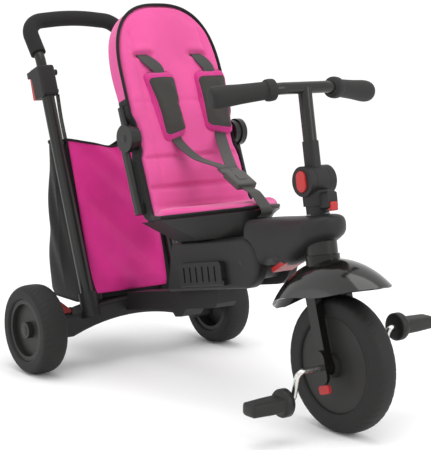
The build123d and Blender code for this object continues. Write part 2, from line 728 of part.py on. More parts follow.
def seat():
    pan = (PAN_REAR, PAN_REAR_HALF, PAN_HALF, PAN_NOSE, PAN_NOSE_HALF)
    belly = (BELLY_REAR, BELLY_REAR_HALF, BELLY_HALF, BELLY_NOSE, BELLY_NOSE_HALF)
    bowl = loft([Pos(0, 0, BODY_TOP) * pan_outline(*belly), pan_outline(*pan)], ruled=True)
    floor = Pos(0, 0, BODY_TOP - 1) * pan_outline(*belly, WALL)
    ceiling = Pos(0, 0, -WALL) * pan_outline(*pan, 2 * WALL)
    hollow = loft([floor, ceiling], ruled=True)
    plate = back_strip(LOWER_BACK_END, LOWER_BACK_TOP, BACK_HALF - BACK_SHELL_INSET)
    shell = BODY * bowl + BACK * back_slab(plate, BACK_SHELL_REAR, BACK_PAD_REAR - SEAT_GAP)
    nodes["seat_shell"] = shell - BODY * hollow
    pad_nose = PAN_NOSE - PAD_NOSE_CUT
    cushion = pan_outline(PAD_REAR, PAN_REAR_HALF + PAD_REAR_FLARE, PAN_HALF - PAD_INSET, pad_nose,
                          PAN_NOSE_HALF)
    cushion = extrude(cushion, amount=PAD_THICK)
    cushion = fillet(cushion.faces().sort_by(Axis.Z)[-1].outer_wire().edges(), PAD_ROUND)
    cushion &= Pos(PAD_CROWN_X, 0, PAD_THICK - PAD_CROWN_R) * Sphere(PAD_CROWN_R)
    low_pad = back_strip(LOWER_PAD_END, 0.0, BACK_HALF)
    low_pad = back_slab(low_pad, BACK_PAD_REAR, BACK_PAD_FRONT + BACK_CROWN)
    low_pad = crowned(low_pad) - fold_wedge() - hinge_notch()
    for u in CREASES:
        low_pad -= crease(u)
    nodes["seat_pad"] = BODY * Pos(0, 0, SEAT_GAP) * cushion + BACK * low_pad


def back_strip(low, high, half_width):
    """Rectangle in (y, u) across the back."""
    return loop((-half_width, low), (half_width, low), (half_width, high), (-half_width, high))


def crowned(pad):
    """Round the pad's front face across its width."""
    return pad & (Pos(BACK_PAD_FRONT + BACK_CROWN - BACK_CROWN_R, 0, 0) * Cylinder(BACK_CROWN_R, FAR))


def hinge_notch():
    """Room beside the pads for the backrest hinges."""
    inner = BACK_HALF - BACK_SHELL_INSET - PART_GAP
    return both_sides(rod(0, 0, HINGE_BOSS_R + PART_GAP, inner, FAR))


def crease(u):
    """A sewn channel across the pad."""
    return rod(BACK_PAD_FRONT + BACK_CROWN, u, CREASE_R, -FAR, FAR)


def backrest():
    front = BACK_PAD_REAR - SEAT_GAP
    shell = back_slab(back_outline(BACK_SHELL_INSET, BACK_SHELL_LOW), BACK_SHELL_REAR, front)
    nodes["back_shell"] = BACK * shell
    hood = back_slab(back_outline(0, POCKET_HEM), POCKET_REAR, front)
    hood = fillet(hood.faces().sort_by(Axis.X)[0].outer_wire().edges().sort_by(Axis.Z)[1:], POCKET_ROUND)
    hood -= back_slab(back_outline(BACK_SHELL_INSET - PART_GAP, 0), BACK_SHELL_REAR - PART_GAP, 0)
    nodes["back_pocket"] = BACK * hood
    pad = back_slab(back_outline(), BACK_PAD_REAR, BACK_PAD_FRONT + BACK_CROWN)
    pad = crowned(pad) - fold_wedge() - hinge_notch() - crease(POCKET_HEM)
    for strap in shoulder_strap_runs(2 * PART_GAP):
        pad -= strap
    nodes["back_pad"] = BACK * pad


def hinge_tubes():
    """Backrest tubes and the seat tubes outside them, joined by one pin on each side."""
    rear = BACK_SHELL_REAR - BACK_TUBE_PROUD
    front = rear + BACK_TUBE_D
    inner = BACK_HALF - BACK_SHELL_INSET
    outer = inner + BACK_TUBE_W + PART_GAP
    end = outer + SEAT_TUBE_W
    tube = block(rear, front, inner, inner + BACK_TUBE_W, 0, POCKET_HEM - PART_GAP)
    tube = fillet(tube.edges().filter_by(Axis.Z), BACK_TUBE_ROUND)
    tube += rod(0, 0, BACK_BOSS_R, inner, inner + BACK_TUBE_W)
    tube -= rod(0, 0, HINGE_PIN_R + RUN_GAP, 0, FAR)
    nodes["back_tubes"] = BACK * both_sides(tube)
    leg = block(rear, front, outer, end, SEAT_TUBE_FOOT, 0)
    leg = fillet(leg.edges().filter_by(Axis.Z), SEAT_TUBE_ROUND) + rod(0, 0, HINGE_BOSS_R, outer, end)
    toe_top = SEAT_TUBE_FOOT + SEAT_TUBE_TOE
    leg += block(rear, front, inner, outer + SEAT_TUBE_W / 4, SEAT_TUBE_FOOT, toe_top)
    leg -= rod(0, 0, HINGE_PIN_R, 0, FAR)
    nodes["seat_tubes"] = BACK * both_sides(leg)
    pins.append(BACK * both_sides(rod(0, 0, HINGE_PIN_R, inner + 1, end)))


def shoulder_strap_runs(extra=0.0):
    """Straps from the slots in the back pad into the shoulder pads, in the backrest frame."""
    pad_mid = SHOULDER_PAD_N + SHOULDER_PAD_T / 2
    low = SHOULDER_PAD_TOP - STRAP_TUCK
    runs = []
    for side, (top_y, low_y) in ((-1, RIGHT_PAD_Y), (1, LEFT_PAD_Y)):
        start = (BACK_PAD_REAR + STRAP_T, side * SLOT_HALF, SLOT_U + STRAP_TUCK)
        runs.append(strap_between(start, (pad_mid, top_y, low), STRAP_W + extra, STRAP_T + extra))
    return runs


def shoulder_pads():
    straps = shoulder_strap_runs()
    pads = []
    half_w = SHOULDER_PAD_W / 2
    for strap, (top_y, low_y) in zip(straps, (RIGHT_PAD_Y, LEFT_PAD_Y)):
        outline = loop((top_y - half_w, SHOULDER_PAD_TOP), (top_y + half_w, SHOULDER_PAD_TOP),
                       (low_y + half_w, SHOULDER_PAD_LOW), (low_y - half_w, SHOULDER_PAD_LOW))
        pad = back_slab(outline, SHOULDER_PAD_N, SHOULDER_PAD_N + SHOULDER_PAD_T)
        pad = fillet(pad.edges().filter_by(Axis.X), SHOULDER_PAD_CORNER)
        pad = fillet(pad.faces().sort_by(Axis.X)[-1].outer_wire().edges(), SHOULDER_PAD_ROUND)
        pads.append(pad - strap)
    nodes["shoulder_pads"] = BACK * together(pads)
    nodes["shoulder_straps"] = BACK * together(straps)


def harness():
    end_x = BUCKLE_LENGTH / 2
    half_w = BUCKLE_WIDTH / 2
    half_t = BUCKLE_THICK / 2
    buckle = fillet(block(-end_x, end_x, -half_w, half_w, -half_t, half_t).edges(), BUCKLE_ROUND)
    button_top = half_t + BUCKLE_BUTTON_PROUD
    button_low = button_top - BUCKLE_BUTTON_THICK
    window = BUCKLE_BUTTON / 2 + PART_GAP
    buckle -= block(-window, window, -window, window, button_low - BUCKLE_TRAVEL - PART_GAP, FAR)
    nodes["buckle"] = BUCKLE * buckle
    half_b = BUCKLE_BUTTON / 2
    button = block(-half_b, half_b, -half_b, half_b, button_low, button_top)
    nodes["buckle_button"] = BUCKLE * fillet(button.faces().sort_by(Axis.Z)[-1].edges(), 1)
    lower = []
    tongue_end = -end_x - PART_GAP
    for start_y, y in zip(LOWER_STRAP_Y, LOWER_TONGUE_Y):
        tongue = block(tongue_end - TONGUE_LENGTH, tongue_end, y - TONGUE_WIDTH / 2, y + TONGUE_WIDTH / 2,
                       -TONGUE_THICK / 2, TONGUE_THICK / 2)
        start = (BACK * Pos(LOWER_STRAP_N, start_y, LOWER_STRAP_U)).position
        end = (BUCKLE * Pos(tongue_end - TONGUE_LENGTH / 2, y, 0)).position
        lower.append(strap_between(tuple(start), tuple(end), STRAP_W, STRAP_T) + BUCKLE * tongue)
    nodes["lower_straps"] = together(lower)
    crotch_top = (BUCKLE * Pos(end_x + PART_GAP, 0, 0)).position
    crotch_low = (BODY * Pos(PAN_NOSE - CROTCH_END_INSET, 0, CROTCH_END_LIFT)).position
    nodes["crotch_strap"] = strap_between(tuple(crotch_top), tuple(crotch_low), STRAP_W, STRAP_T)


# Bag behind the seat
def bag():
    outline = make_face(loop(BAG_FRONT_LOW, BAG_FRONT_TOP, BAG_REAR_TOP, BAG_REAR_LOW))
    outline = fillet(outline.vertices().group_by(Axis.Y)[0], BAG_CORNER_R)
    inside_half = BAG_HALF - BAG_WALL
    outer = Pos(0, BAG_HALF, 0) * extrude(Plane.XZ * outline, amount=2 * BAG_HALF)
    inner = Pos(0, inside_half, 0) * extrude(Plane.XZ * offset(outline, -BAG_WALL), amount=2 * inside_half)
    mouth = block(BAG_REAR_TOP[0] + BAG_WALL, BAG_FRONT_TOP[0] - BAG_WALL, -inside_half, inside_half,
                  BAG_REAR_TOP[1] - BAG_MOUTH_DEPTH, FAR)
    nodes["bag_body"] = outer - inner - mouth
    lean = BAG_FRONT_LEAN / BAG_FRONT_HEIGHT
    low = (BAG_FRONT_LOW[0] + PART_GAP - BAG_CORNER_R * lean, BAG_FRONT_LOW[1] + BAG_CORNER_R)
    top = (BAG_FRONT_TOP[0] + PART_GAP, BAG_FRONT_TOP[1])
    panel = loop(low, top, (top[0] + BAG_WALL, top[1]), (low[0] + BAG_WALL, low[1]))
    nodes["bag_front"] = slab(panel, -inside_half, inside_half)
    stud_z = TUBE_LENGTH - CLAMP_SEAT + STUD_INSET - LOWER_STUD_R - PART_GAP
    stud_y = CLAMP_HALF + BAG_STRAP_W / 2 + PART_GAP
    rim_slope = (BAG_FRONT_TOP[1] - BAG_REAR_TOP[1]) / (BAG_FRONT_TOP[0] - BAG_REAR_TOP[0])
    rim_z = BAG_FRONT_TOP[1] - BAG_STRAP_INSET * rim_slope
    straps = []
    for side in SIDES.values():
        start = (TUBE[side] * Pos(0, -side * stud_y, stud_z)).position
        end = (BAG_FRONT_TOP[0] - BAG_STRAP_INSET, side * (BAG_HALF - BAG_STRAP_INSET), rim_z + PART_GAP)
        straps.append(strap_between(tuple(start), end, BAG_STRAP_W, STRAP_T))
    nodes["bag_straps"] = together(straps)


# Front arm with the fold tongue and the head tube
def fold_centre():
    """The frame fold pin's middle."""
    return (BODY * Pos(FOLD_REACH, 0, BODY_TOP - BODY_HEIGHT / 2)).position


def arm_points():
    """Corners of the arm's side outline: crest rear and front, underside rear and front, in x and z."""
    pin = fold_centre()
    return (Vector(pin.X + ARM_CREST_REAR_REACH, pin.Z + ARM_CREST_REAR_RISE),
            Vector(HEAD_X - ARM_CREST_SETBACK, HEAD_Z + ARM_CREST_FRONT_RISE),
            Vector(pin.X + ARM_UNDER_REACH, pin.Z - ARM_UNDER_REAR_DROP),
            Vector(HEAD_X - ARM_UNDER_SETBACK, HEAD_Z - ARM_UNDER_FRONT_DROP))


def flat(*vectors):
    """Plain pairs from vectors drawn in x and z."""
    return [(v.X, v.Y) for v in vectors]


def scoop_ends():
    """Ends of the finger scoop on the arm's underside, with the directions along it and into the arm."""
    rear, front = arm_points()[2:]
    along = (front - rear).normalized()
    inward = Vector(-along.Y, along.X)
    return rear + along * SCOOP_REAR_MARGIN, front - along * SCOOP_FRONT_MARGIN, along, inward


def arm_tongue():
    """Core of the arm: a round eye on the fold pin and a bar that runs forward to the head tube."""
    pin = fold_centre()
    head_mid = (HEAD * Pos(0, 0, (NOSE_LOW + NOSE_HIGH) / 2)).position
    end_x = head_mid.X - HEAD_TUBE_R - TONGUE_END_GAP
    core = loop((pin.X, pin.Z + TONGUE_R - TONGUE_STEP), (end_x, head_mid.Z + TONGUE_END_HALF),
                (end_x, head_mid.Z - TONGUE_END_HALF), (pin.X + TONGUE_R, pin.Z),
                (pin.X, pin.Z - TONGUE_STEP))
    return slab(core, -TONGUE_HALF, TONGUE_HALF) + rod(pin.X, pin.Z, TONGUE_R, -TONGUE_HALF, TONGUE_HALF)


def front_arm():
    pin = fold_centre()
    crest_rear, crest_front, under_rear, under_front = arm_points()
    head_low, head_high = [(HEAD * Pos(0, 0, z)).position for z in (NOSE_LOW, NOSE_HIGH)]
    outline = loop((pin.X, crest_rear.Y), *flat(crest_rear, crest_front), (head_high.X, head_high.Z),
                   (head_low.X, head_low.Z), *flat(under_front, under_rear), (pin.X, under_rear.Y))
    solid = slab(outline, -BODY_HALF, BODY_HALF)
    sides = [(pin.X, BODY_HALF), (under_rear.X, BODY_HALF), (HEAD_X, NOSE_R), (FAR, NOSE_R)]
    plan = loop(*sides, *[(x, -y) for x, y in reversed(sides)])
    solid &= extrude(make_face(plan), amount=FAR)
    solid += HEAD * post(NOSE_R, NOSE_LOW, NOSE_HIGH)
    solid -= rod(pin.X, pin.Z, BODY_HEIGHT / 2 + PART_GAP, -FAR, FAR)
    solid -= block(-FAR, crest_rear.X, -FAR, FAR, -FAR, FAR)
    scoop_rear, scoop_front, along, inward = scoop_ends()
    deepest = (scoop_rear + scoop_front) / 2 + inward * SCOOP_DEPTH
    below = inward * -SCOOP_DEPTH * 2
    scoop = Polyline(*flat(scoop_rear, scoop_rear + below, scoop_front + below, scoop_front))
    scoop += ThreePointArc(*flat(scoop_front, deepest, scoop_rear))
    solid -= slab(scoop, -FAR, FAR)
    solid -= HEAD * (post(HEAD_TUBE_R, -FAR, FAR) + post(HEAD_COLLAR_R, -FAR, NOSE_LOW))
    half_t = FOLD_LEVER_THICK / 2
    pivot = scoop_front - along * (half_t + FOLD_LEVER_SETBACK) + inward * FOLD_LEVER_SINK
    solid -= rod(pivot.X, pivot.Y, half_t + PART_GAP, -FAR, FAR)
    tongue = arm_tongue()
    nodes["fold_tongue"] = tongue - rod(pin.X, pin.Z, FOLD_PIN_R + RUN_GAP, -FAR, FAR)
    solid -= tongue
    for name, side in SIDES.items():
        nodes["arm_shell_" + name] = half(solid, side)
    tip = scoop_rear + along * FOLD_LEVER_MARGIN + inward * FOLD_LEVER_SINK
    corners = [pivot + inward * half_t, tip + inward * half_t,
               tip - inward * half_t, pivot - inward * half_t]
    blade = loop(*flat(*corners))
    lever = slab(blade, -FOLD_LEVER_HALF, FOLD_LEVER_HALF)
    lever += rod(pivot.X, pivot.Y, half_t, -FOLD_LEVER_HALF, FOLD_LEVER_HALF)
    nodes["fold_lever"] = lever - solid


def head_tube():
    low_end = NOSE_LOW - HEAD_COLLAR_DROP
    head = post(HEAD_TUBE_R, NOSE_LOW, NOSE_HIGH) + post(HEAD_COLLAR_R, low_end, NOSE_LOW)
    nodes["head_tube"] = HEAD * (head - post(BUSH_R, -FAR, FAR))
    bushes = post(BUSH_R, NOSE_HIGH - BUSH_LENGTH, NOSE_HIGH) + post(BUSH_R, low_end, low_end + BUSH_LENGTH)
    nodes["head_bushes"] = HEAD * (bushes - post(STEERER_R + RUN_GAP, -FAR, FAR))


# Fork, fender, front wheel, crank and pedals
def polar(radius, degrees):
    """Point on a circle about the front axle, in x and z."""
    return (radius * math.cos(math.radians(degrees)), radius * math.sin(math.radians(degrees)))


def arc_about_axle(radius, start, end):
    """Arc about the front axle between two angles."""
    return ThreePointArc(*[polar(radius, angle) for angle in (start, (start + end) / 2, end)])


def crown_top():
    """Height of the fork crown's top face on the head axis."""
    return NOSE_LOW - HEAD_COLLAR_DROP - PART_GAP


def fork():
    top = crown_top()
    crown = HEAD * post(CROWN_R, top - CROWN_LENGTH, top)
    steerer = HEAD * post(STEERER_R, top - 1, STEM_JOINT - STEM_JOINT_R - PART_GAP)
    outer = LEG_INNER + LEG_THICK
    start, end = BRIDGE_ANGLE - BRIDGE_SPREAD, BRIDGE_ANGLE + BRIDGE_SPREAD
    sector = Line(polar(BRIDGE_OUTER_R, start), polar(BRIDGE_INNER_R, start))
    sector += arc_about_axle(BRIDGE_INNER_R, start, end)
    sector += Line(polar(BRIDGE_INNER_R, end), polar(BRIDGE_OUTER_R, end))
    sector += arc_about_axle(BRIDGE_OUTER_R, end, start)
    leg_top = BRIDGE_OUTER_R - LEG_TOP_INSET
    leg = LEG_LEAN * block(-LEG_WIDTH / 2, LEG_WIDTH / 2, LEG_INNER, outer, 0, leg_top)
    leg += rod(0, 0, LEG_END_R, LEG_INNER, outer)
    legs = both_sides(leg) - rod(0, 0, CRANK_R + RUN_GAP, -FAR, FAR)
    nodes["fork"] = crown + steerer + FRONT_AXLE * (slab(sector, -outer, outer) + legs)


def hub_covers():
    """Oval covers outside the fork ends, and the tab below the right one that frees the wheel."""
    near = LEG_INNER + LEG_THICK
    far = near + COVER_THICK
    oval = SlotOverall(COVER_LENGTH, COVER_WIDTH, rotation=90).wires()[0].edges()
    cover = LEG_LEAN * slab(oval, near, far) - rod(0, 0, CRANK_R + PART_GAP, -FAR, FAR)
    stem_top = TAB_STEM_TOP - COVER_LENGTH / 2
    groove_half = TAB_STEM / 2 + PART_GAP
    groove_floor = near + TAB_STEM_THICK + 2 * PART_GAP
    groove = block(-groove_half, groove_half, near - 1, groove_floor, -FAR, stem_top + PART_GAP)
    right_cover = mirror(cover - LEG_LEAN * groove, about=Plane.XZ)
    nodes["hub_covers"] = FRONT_AXLE * (cover + right_cover)
    tab_top = -COVER_LENGTH / 2 - PART_GAP
    tab = block(-TAB_WIDTH / 2, TAB_WIDTH / 2, near + PART_GAP, far, tab_top - TAB_HEIGHT, tab_top)
    tab = fillet(tab.edges().filter_by(Axis.Y), TAB_ROUND)
    tab += block(-TAB_STEM / 2, TAB_STEM / 2, near + PART_GAP, near + PART_GAP + TAB_STEM_THICK,
                 tab_top - TAB_HEIGHT / 2, stem_top)
    nodes["clutch_tab"] = FRONT_AXLE * mirror(LEG_LEAN * tab, about=Plane.XZ)


def fender_section(turn):
    """Thin arch in a radial plane of the front wheel, which wraps least at the two tips."""
    along = -FENDER_MID_BACK + FENDER_LENGTH / 2 * math.cos(turn)
    half_angle = math.radians(FENDER_WRAP) * math.sin(turn)
    plane_angle = math.degrees(math.acos(along / FENDER_RIDGE_R))

    def point(arch_r, angle):
        x, z = polar(FENDER_RIDGE_R - FENDER_ARCH_R + arch_r * math.cos(angle), plane_angle)
        return (x, arch_r * math.sin(angle), z)

    outer = [point(FENDER_ARCH_R, angle) for angle in (-half_angle, 0, half_angle)]
    inner = [point(FENDER_ARCH_R - FENDER_WALL, angle) for angle in (half_angle, 0, -half_angle)]
    edges = [ThreePointArc(*outer), Line(outer[2], inner[0])]
    edges += [ThreePointArc(*inner), Line(inner[2], outer[0])]
    return make_face(edges)


def fender():
    """Shell lofted through arches from the front tip to the rear tip, with a hole for the crown."""
    tip = math.radians(FENDER_TIP)
    step = (math.pi - 2 * tip) / (FENDER_SECTIONS - 1)
    shell = loft([fender_section(tip + i * step) for i in range(FENDER_SECTIONS)])
    hole = HEAD * post(CROWN_R + PART_GAP / 2, crown_top() - CROWN_LENGTH, crown_top() + FENDER_ARCH_R)
    nodes["fender"] = FRONT_AXLE * shell - hole


def front_wheel():
    half_w = FRONT_WHEEL_W / 2
    band = FRONT_WHEEL_R - FRONT_HUB_R
    profile = Pos(FRONT_HUB_R + band / 2, 0) * Rectangle(band, FRONT_WHEEL_W)
    profile = fillet(profile.vertices().group_by(Axis.X)[-1], FRONT_TYRE_SHOULDER)
    nodes["front_tyre"] = FRONT_AXLE * revolve(profile, Axis.Y)
    bore = CRANK_R + RUN_GAP
    hub_half = half_w - FRONT_HUB_INSET
    boss_half = LEG_INNER - FRONT_BOSS_GAP
    hub = ring(bore, FRONT_HUB_R, -hub_half, hub_half) + ring(bore, FRONT_BOSS_R, -boss_half, boss_half)
    nodes["front_hub"] = FRONT_AXLE * hub


def crank_and_pedals():
    lean = math.radians(CRANK_LEAN)
    dx, dz = CRANK_RADIUS * math.sin(lean), CRANK_RADIUS * math.cos(lean)
    points = [(-dx, -CRANK_END_Y, -dz), (-dx, -CRANK_ARM_Y, -dz), (0, -CRANK_ARM_Y, 0)]
    points += [(-x, -y, -z) for x, y, z in reversed(points)]
    nodes["crank"] = FRONT_AXLE * tube_along(points, [CRANK_BEND_R] * 4, CRANK_R)
    flange_start = CRANK_ARM_Y + CRANK_BEND_R + 2 * PART_GAP
    flange_end = flange_start + PEDAL_FLANGE_W
    half_l, half_t = PEDAL_LENGTH / 2, PEDAL_THICK / 2
    tread = block(-half_l, half_l, flange_end - 1, CRANK_END_Y + PEDAL_CAP, -half_t, half_t)
    tread = fillet(tread.edges().filter_by(Axis.Y), PEDAL_ROUND)
    pedal = rod(0, 0, PEDAL_FLANGE_R, flange_start, flange_end) + tread
    pedal -= rod(0, 0, CRANK_R + RUN_GAP, 0, CRANK_END_Y + PEDAL_END_GAP)
    nodes["pedal_left"] = FRONT_AXLE * Pos(dx, 0, dz) * pedal
    nodes["pedal_right"] = FRONT_AXLE * Pos(-dx, 0, -dz) * mirror(pedal, about=Plane.XZ)


# Steering column and handlebar
def column():
    joint = STEM_JOINT
    base = post(COLUMN_NECK_R, NOSE_HIGH + PART_GAP, COLUMN_NECK_TOP)
    base += post(COLUMN_COLLAR_R, COLUMN_NECK_TOP - 2, COLUMN_COLLAR_TOP)
    housing = block(0, LOCK_FRONT, -LOCK_HALF, LOCK_HALF, LOCK_LOW, LOCK_HIGH)
    rounded = housing.edges().filter_by(Axis.X) + housing.edges().filter_by(Axis.Y).group_by(Axis.X)[-1]
    base += fillet(rounded, LOCK_ROUND)
    base += rod(0, joint, STEM_JOINT_R, -STEM_JOINT_HALF, STEM_JOINT_HALF)
    gap_half = KNUCKLE_HALF + PART_GAP
    base -= rod(0, joint, STEM_JOINT_R + PART_GAP, -gap_half, gap_half)
    base -= post(STEERER_R, 0, joint - STEM_JOINT_R)
    pocket_floor = -STEM_JOINT_HALF + BUTTON_DEPTH
    oval = SlotOverall(BUTTON_LENGTH, BUTTON_WIDTH, rotation=90).wires()[0].edges()
    pocket = SlotOverall(BUTTON_LENGTH + 2 * PART_GAP, BUTTON_WIDTH + 2 * PART_GAP, rotation=90)
    base -= Pos(0, 0, joint) * slab(pocket.wires()[0].edges(), -FAR, pocket_floor)
    base -= rod(0, joint, STEM_PIN_R, pocket_floor - 1, FAR)
    lock_top = LOCK_LOW + LOCK_BUTTON_TOP
    lock_back = LOCK_FRONT - LOCK_BUTTON_DEPTH
    lock_half = LOCK_BUTTON_HALF + PART_GAP
    base -= block(lock_back, FAR, -lock_half, lock_half, -FAR, lock_top + PART_GAP)
    nodes["column_base"] = HEAD * base
    lock = block(lock_back + LOCK_TRAVEL + PART_GAP, LOCK_FRONT + LOCK_BUTTON_PROUD,
                 -LOCK_BUTTON_HALF, LOCK_BUTTON_HALF, lock_top - LOCK_BUTTON_HEIGHT, lock_top)
    nodes["steering_lock"] = HEAD * fillet(lock.edges(), LOCK_BUTTON_ROUND)
    button_floor = pocket_floor - BUTTON_PROUD + PART_GAP
    button = Pos(0, 0, joint) * slab(oval, -STEM_JOINT_HALF - BUTTON_PROUD, button_floor)
    nodes["stem_button"] = HEAD * fillet(button.faces().sort_by(Axis.Y)[0].edges(), BUTTON_ROUND)
    nodes["stem_pin"] = HEAD * rod(0, joint, STEM_PIN_R, pocket_floor, STEM_JOINT_HALF - 1)


def handlebar():
    joint = STEM_JOINT
    stem_low = SLEEVE_TOP - STEM_SINK
    knuckle = rod(0, joint, STEM_JOINT_R, -KNUCKLE_HALF, KNUCKLE_HALF) + post(SLEEVE_R, joint, SLEEVE_TOP)
    knuckle -= rod(0, joint, STEM_PIN_R + RUN_GAP, -FAR, FAR)
    knuckle -= post(STEM_R, stem_low, FAR)
    nodes["stem_knuckle"] = HEAD * knuckle
    top = (HEAD * Pos(0, 0, STEM_TOP)).position
    ends = [Vector(top.X - BAR_SWEEP, y * BAR_END_HALF, top.Z - BAR_DROP) for y in (-1, 1)]
    knees = [Vector(top.X, y * BAR_MID_HALF, top.Z) for y in (-1, 1)]
    bar = tube_along([ends[0], knees[0], knees[1], ends[1]], [BAR_BEND_R] * 2, BAR_R)
    nodes["handlebar"] = HEAD * post(STEM_R, stem_low, STEM_TOP) + bar
    inward = (knees[1] - ends[1]).normalized()
    cap = ends[1] - inward * GRIP_CAP
    grip = fillet(bar_between(cap, cap + inward * GRIP_LENGTH, GRIP_R).edges(), GRIP_ROUND)
    grip -= bar_between(ends[1], ends[1] + inward * GRIP_LENGTH, BAR_R)
    nodes["grips"] = both_sides(grip)


def brake():
    pin_z = BEAM_END_TOP + BRAKE_PIN_RISE
    half_t = BRAKE_THICK / 2
    place = Pos(BRAKE_PIN_X, 0, pin_z) * Rot(0, BRAKE_LIFT, 0)
    plate = block(-BRAKE_REACH, 0, -BRAKE_OUTER, -BRAKE_INNER, -half_t, half_t)
    plate = fillet(plate.edges().filter_by(Axis.Z).group_by(Axis.X)[0], BRAKE_ROUND)
    plate += rod(0, 0, BRAKE_EYE_R, -BRAKE_OUTER, -BRAKE_INNER)
    nodes["brake_pedal"] = place * (plate - rod(0, 0, BRAKE_PIN_R + RUN_GAP, -FAR, 0))
    pin_out = BRAKE_OUTER + PART_GAP + BRAKE_EAR
    pin_in = BRAKE_INNER - PART_GAP - BRAKE_EAR
    pins.append(rod(BRAKE_PIN_X, pin_z, BRAKE_PIN_R, -pin_out, -pin_in))


rear_wheels()
rear_beam()
spine()
push_handle()
handle_loop()
body_shells()
footrests()
seat()
backrest()
hinge_tubes()
shoulder_pads()
harness()
bag()
front_arm()
head_tube()
fork()
hub_covers()
fender()
front_wheel()
crank_and_pedals()
column()
handlebar()
brake()
nodes["hinge_pins"] = together(pins)

for name, shape in nodes.items():
    export_step(Pos(-BOX_MID_X, 0, 0) * shape, "parts/" + name + ".step")
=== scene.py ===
import json
import math
from functools import cached_property

import bmesh
import bpy
import numpy as np
from bpy.props import FloatProperty, FloatVectorProperty, IntProperty, PointerProperty
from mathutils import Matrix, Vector


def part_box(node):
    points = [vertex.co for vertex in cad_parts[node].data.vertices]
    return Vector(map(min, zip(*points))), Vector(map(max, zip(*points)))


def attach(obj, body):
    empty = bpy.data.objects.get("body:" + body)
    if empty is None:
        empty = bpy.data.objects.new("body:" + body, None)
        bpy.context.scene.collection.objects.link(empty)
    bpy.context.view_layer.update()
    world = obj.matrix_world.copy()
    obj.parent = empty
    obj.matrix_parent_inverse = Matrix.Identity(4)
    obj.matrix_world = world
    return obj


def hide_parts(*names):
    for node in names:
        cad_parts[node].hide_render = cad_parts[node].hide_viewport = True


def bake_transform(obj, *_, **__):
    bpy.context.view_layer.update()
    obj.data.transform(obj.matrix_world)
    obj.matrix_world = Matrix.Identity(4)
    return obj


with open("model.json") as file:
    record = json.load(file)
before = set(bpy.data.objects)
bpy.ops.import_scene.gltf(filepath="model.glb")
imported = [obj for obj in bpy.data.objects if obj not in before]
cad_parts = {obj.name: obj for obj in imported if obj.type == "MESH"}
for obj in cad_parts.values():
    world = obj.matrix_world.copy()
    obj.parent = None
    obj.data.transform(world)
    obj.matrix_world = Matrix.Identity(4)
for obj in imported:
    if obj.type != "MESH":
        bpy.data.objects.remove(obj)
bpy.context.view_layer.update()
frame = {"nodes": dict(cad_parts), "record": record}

bl_info = {
    "name": "Folding tricycle",
    "version": (1, 0, 0),
    "blender": (4, 5, 0),
    "location": "View3D > Sidebar > Tricycle",
    "description": "Dresses a children's folding tricycle with its fabric, webbing, tyres and trim",
    "category": "Object",
}


class Place:
    """A frame tilted about Y: local x, y, z along its own axes, in metres."""

    def __init__(self, origin, degrees):
        turn = math.radians(degrees)
        self.origin = np.array(origin, float)
        self.x = np.array([math.cos(turn), 0.0, math.sin(turn)])
        self.y = np.array([0.0, 1.0, 0.0])
        self.z = np.array([-math.sin(turn), 0.0, math.cos(turn)])

    def at(self, x, y, z):
        """World points of local coordinates, given as numbers or arrays."""
        x, y, z = np.broadcast_arrays(x, y, z)
        return self.origin + (x[..., None] * self.x + y[..., None] * self.y + z[..., None] * self.z)


# Frames of the object, as its solids are drawn
REAR_AXLE_X = -0.25826
BACK = Place((REAR_AXLE_X + 0.184, 0, 0.455), 21.5)
BODY = Place((REAR_AXLE_X + 0.304, 0, 0.322), 10.5)
BUCKLE = Place((REAR_AXLE_X + 0.354, 0, 0.388), -25.0)
TUBES = {side: Place((REAR_AXLE_X + 0.020, side * 0.108, 0.125), 20.2) for side in (-1, 1)}
HINGE_SOFTEN = 0.032


def metres(name, description, default, low, high):
    """A length property."""
    return FloatProperty(name=name, description=description, default=default,
                         min=low, max=high, unit="LENGTH")


def colour(name, description, default):
    """A colour property in linear RGB."""
    return FloatVectorProperty(name=name, description=description, default=default,
                               subtype="COLOR", size=3, min=0.0, max=1.0)


class TricycleSizes(bpy.types.PropertyGroup):
    """Sizes of the soft goods and trim."""

    liner_thickness: metres("Liner thickness", "Padding of the seat and back liner", 0.0145, 0.006, 0.03)
    liner_edge: metres("Liner edge", "How far in from its edge the liner reaches full thickness",
                       0.008, 0.003, 0.04)
    piping_radius: metres("Piping radius", "Radius of the black piping round the liner",
                          0.0028, 0.0005, 0.006)
    webbing_width: metres("Webbing width", "Width of the harness webbing", 0.025, 0.01, 0.05)
    webbing_thickness: metres("Webbing thickness", "Thickness of the harness webbing", 0.0019, 0.0005, 0.005)
    pad_thickness: metres("Shoulder pad thickness", "Padding of the shoulder pads", 0.011, 0.004, 0.03)
    bag_bulge: metres("Bag bulge", "How far the bag's sides and back belly out", 0.010, 0.0, 0.03)
    hem_sag: metres("Hem sag", "How far the bag's front hem hangs down in the middle", 0.020, 0.0, 0.05)
    tread_depth: metres("Tread depth", "Depth of the tyres' tread grooves", 0.0012, 0.0, 0.004)
    tread_count: IntProperty(name="Tread count", description="Tread grooves round a tyre",
                             default=44, min=8, max=120)


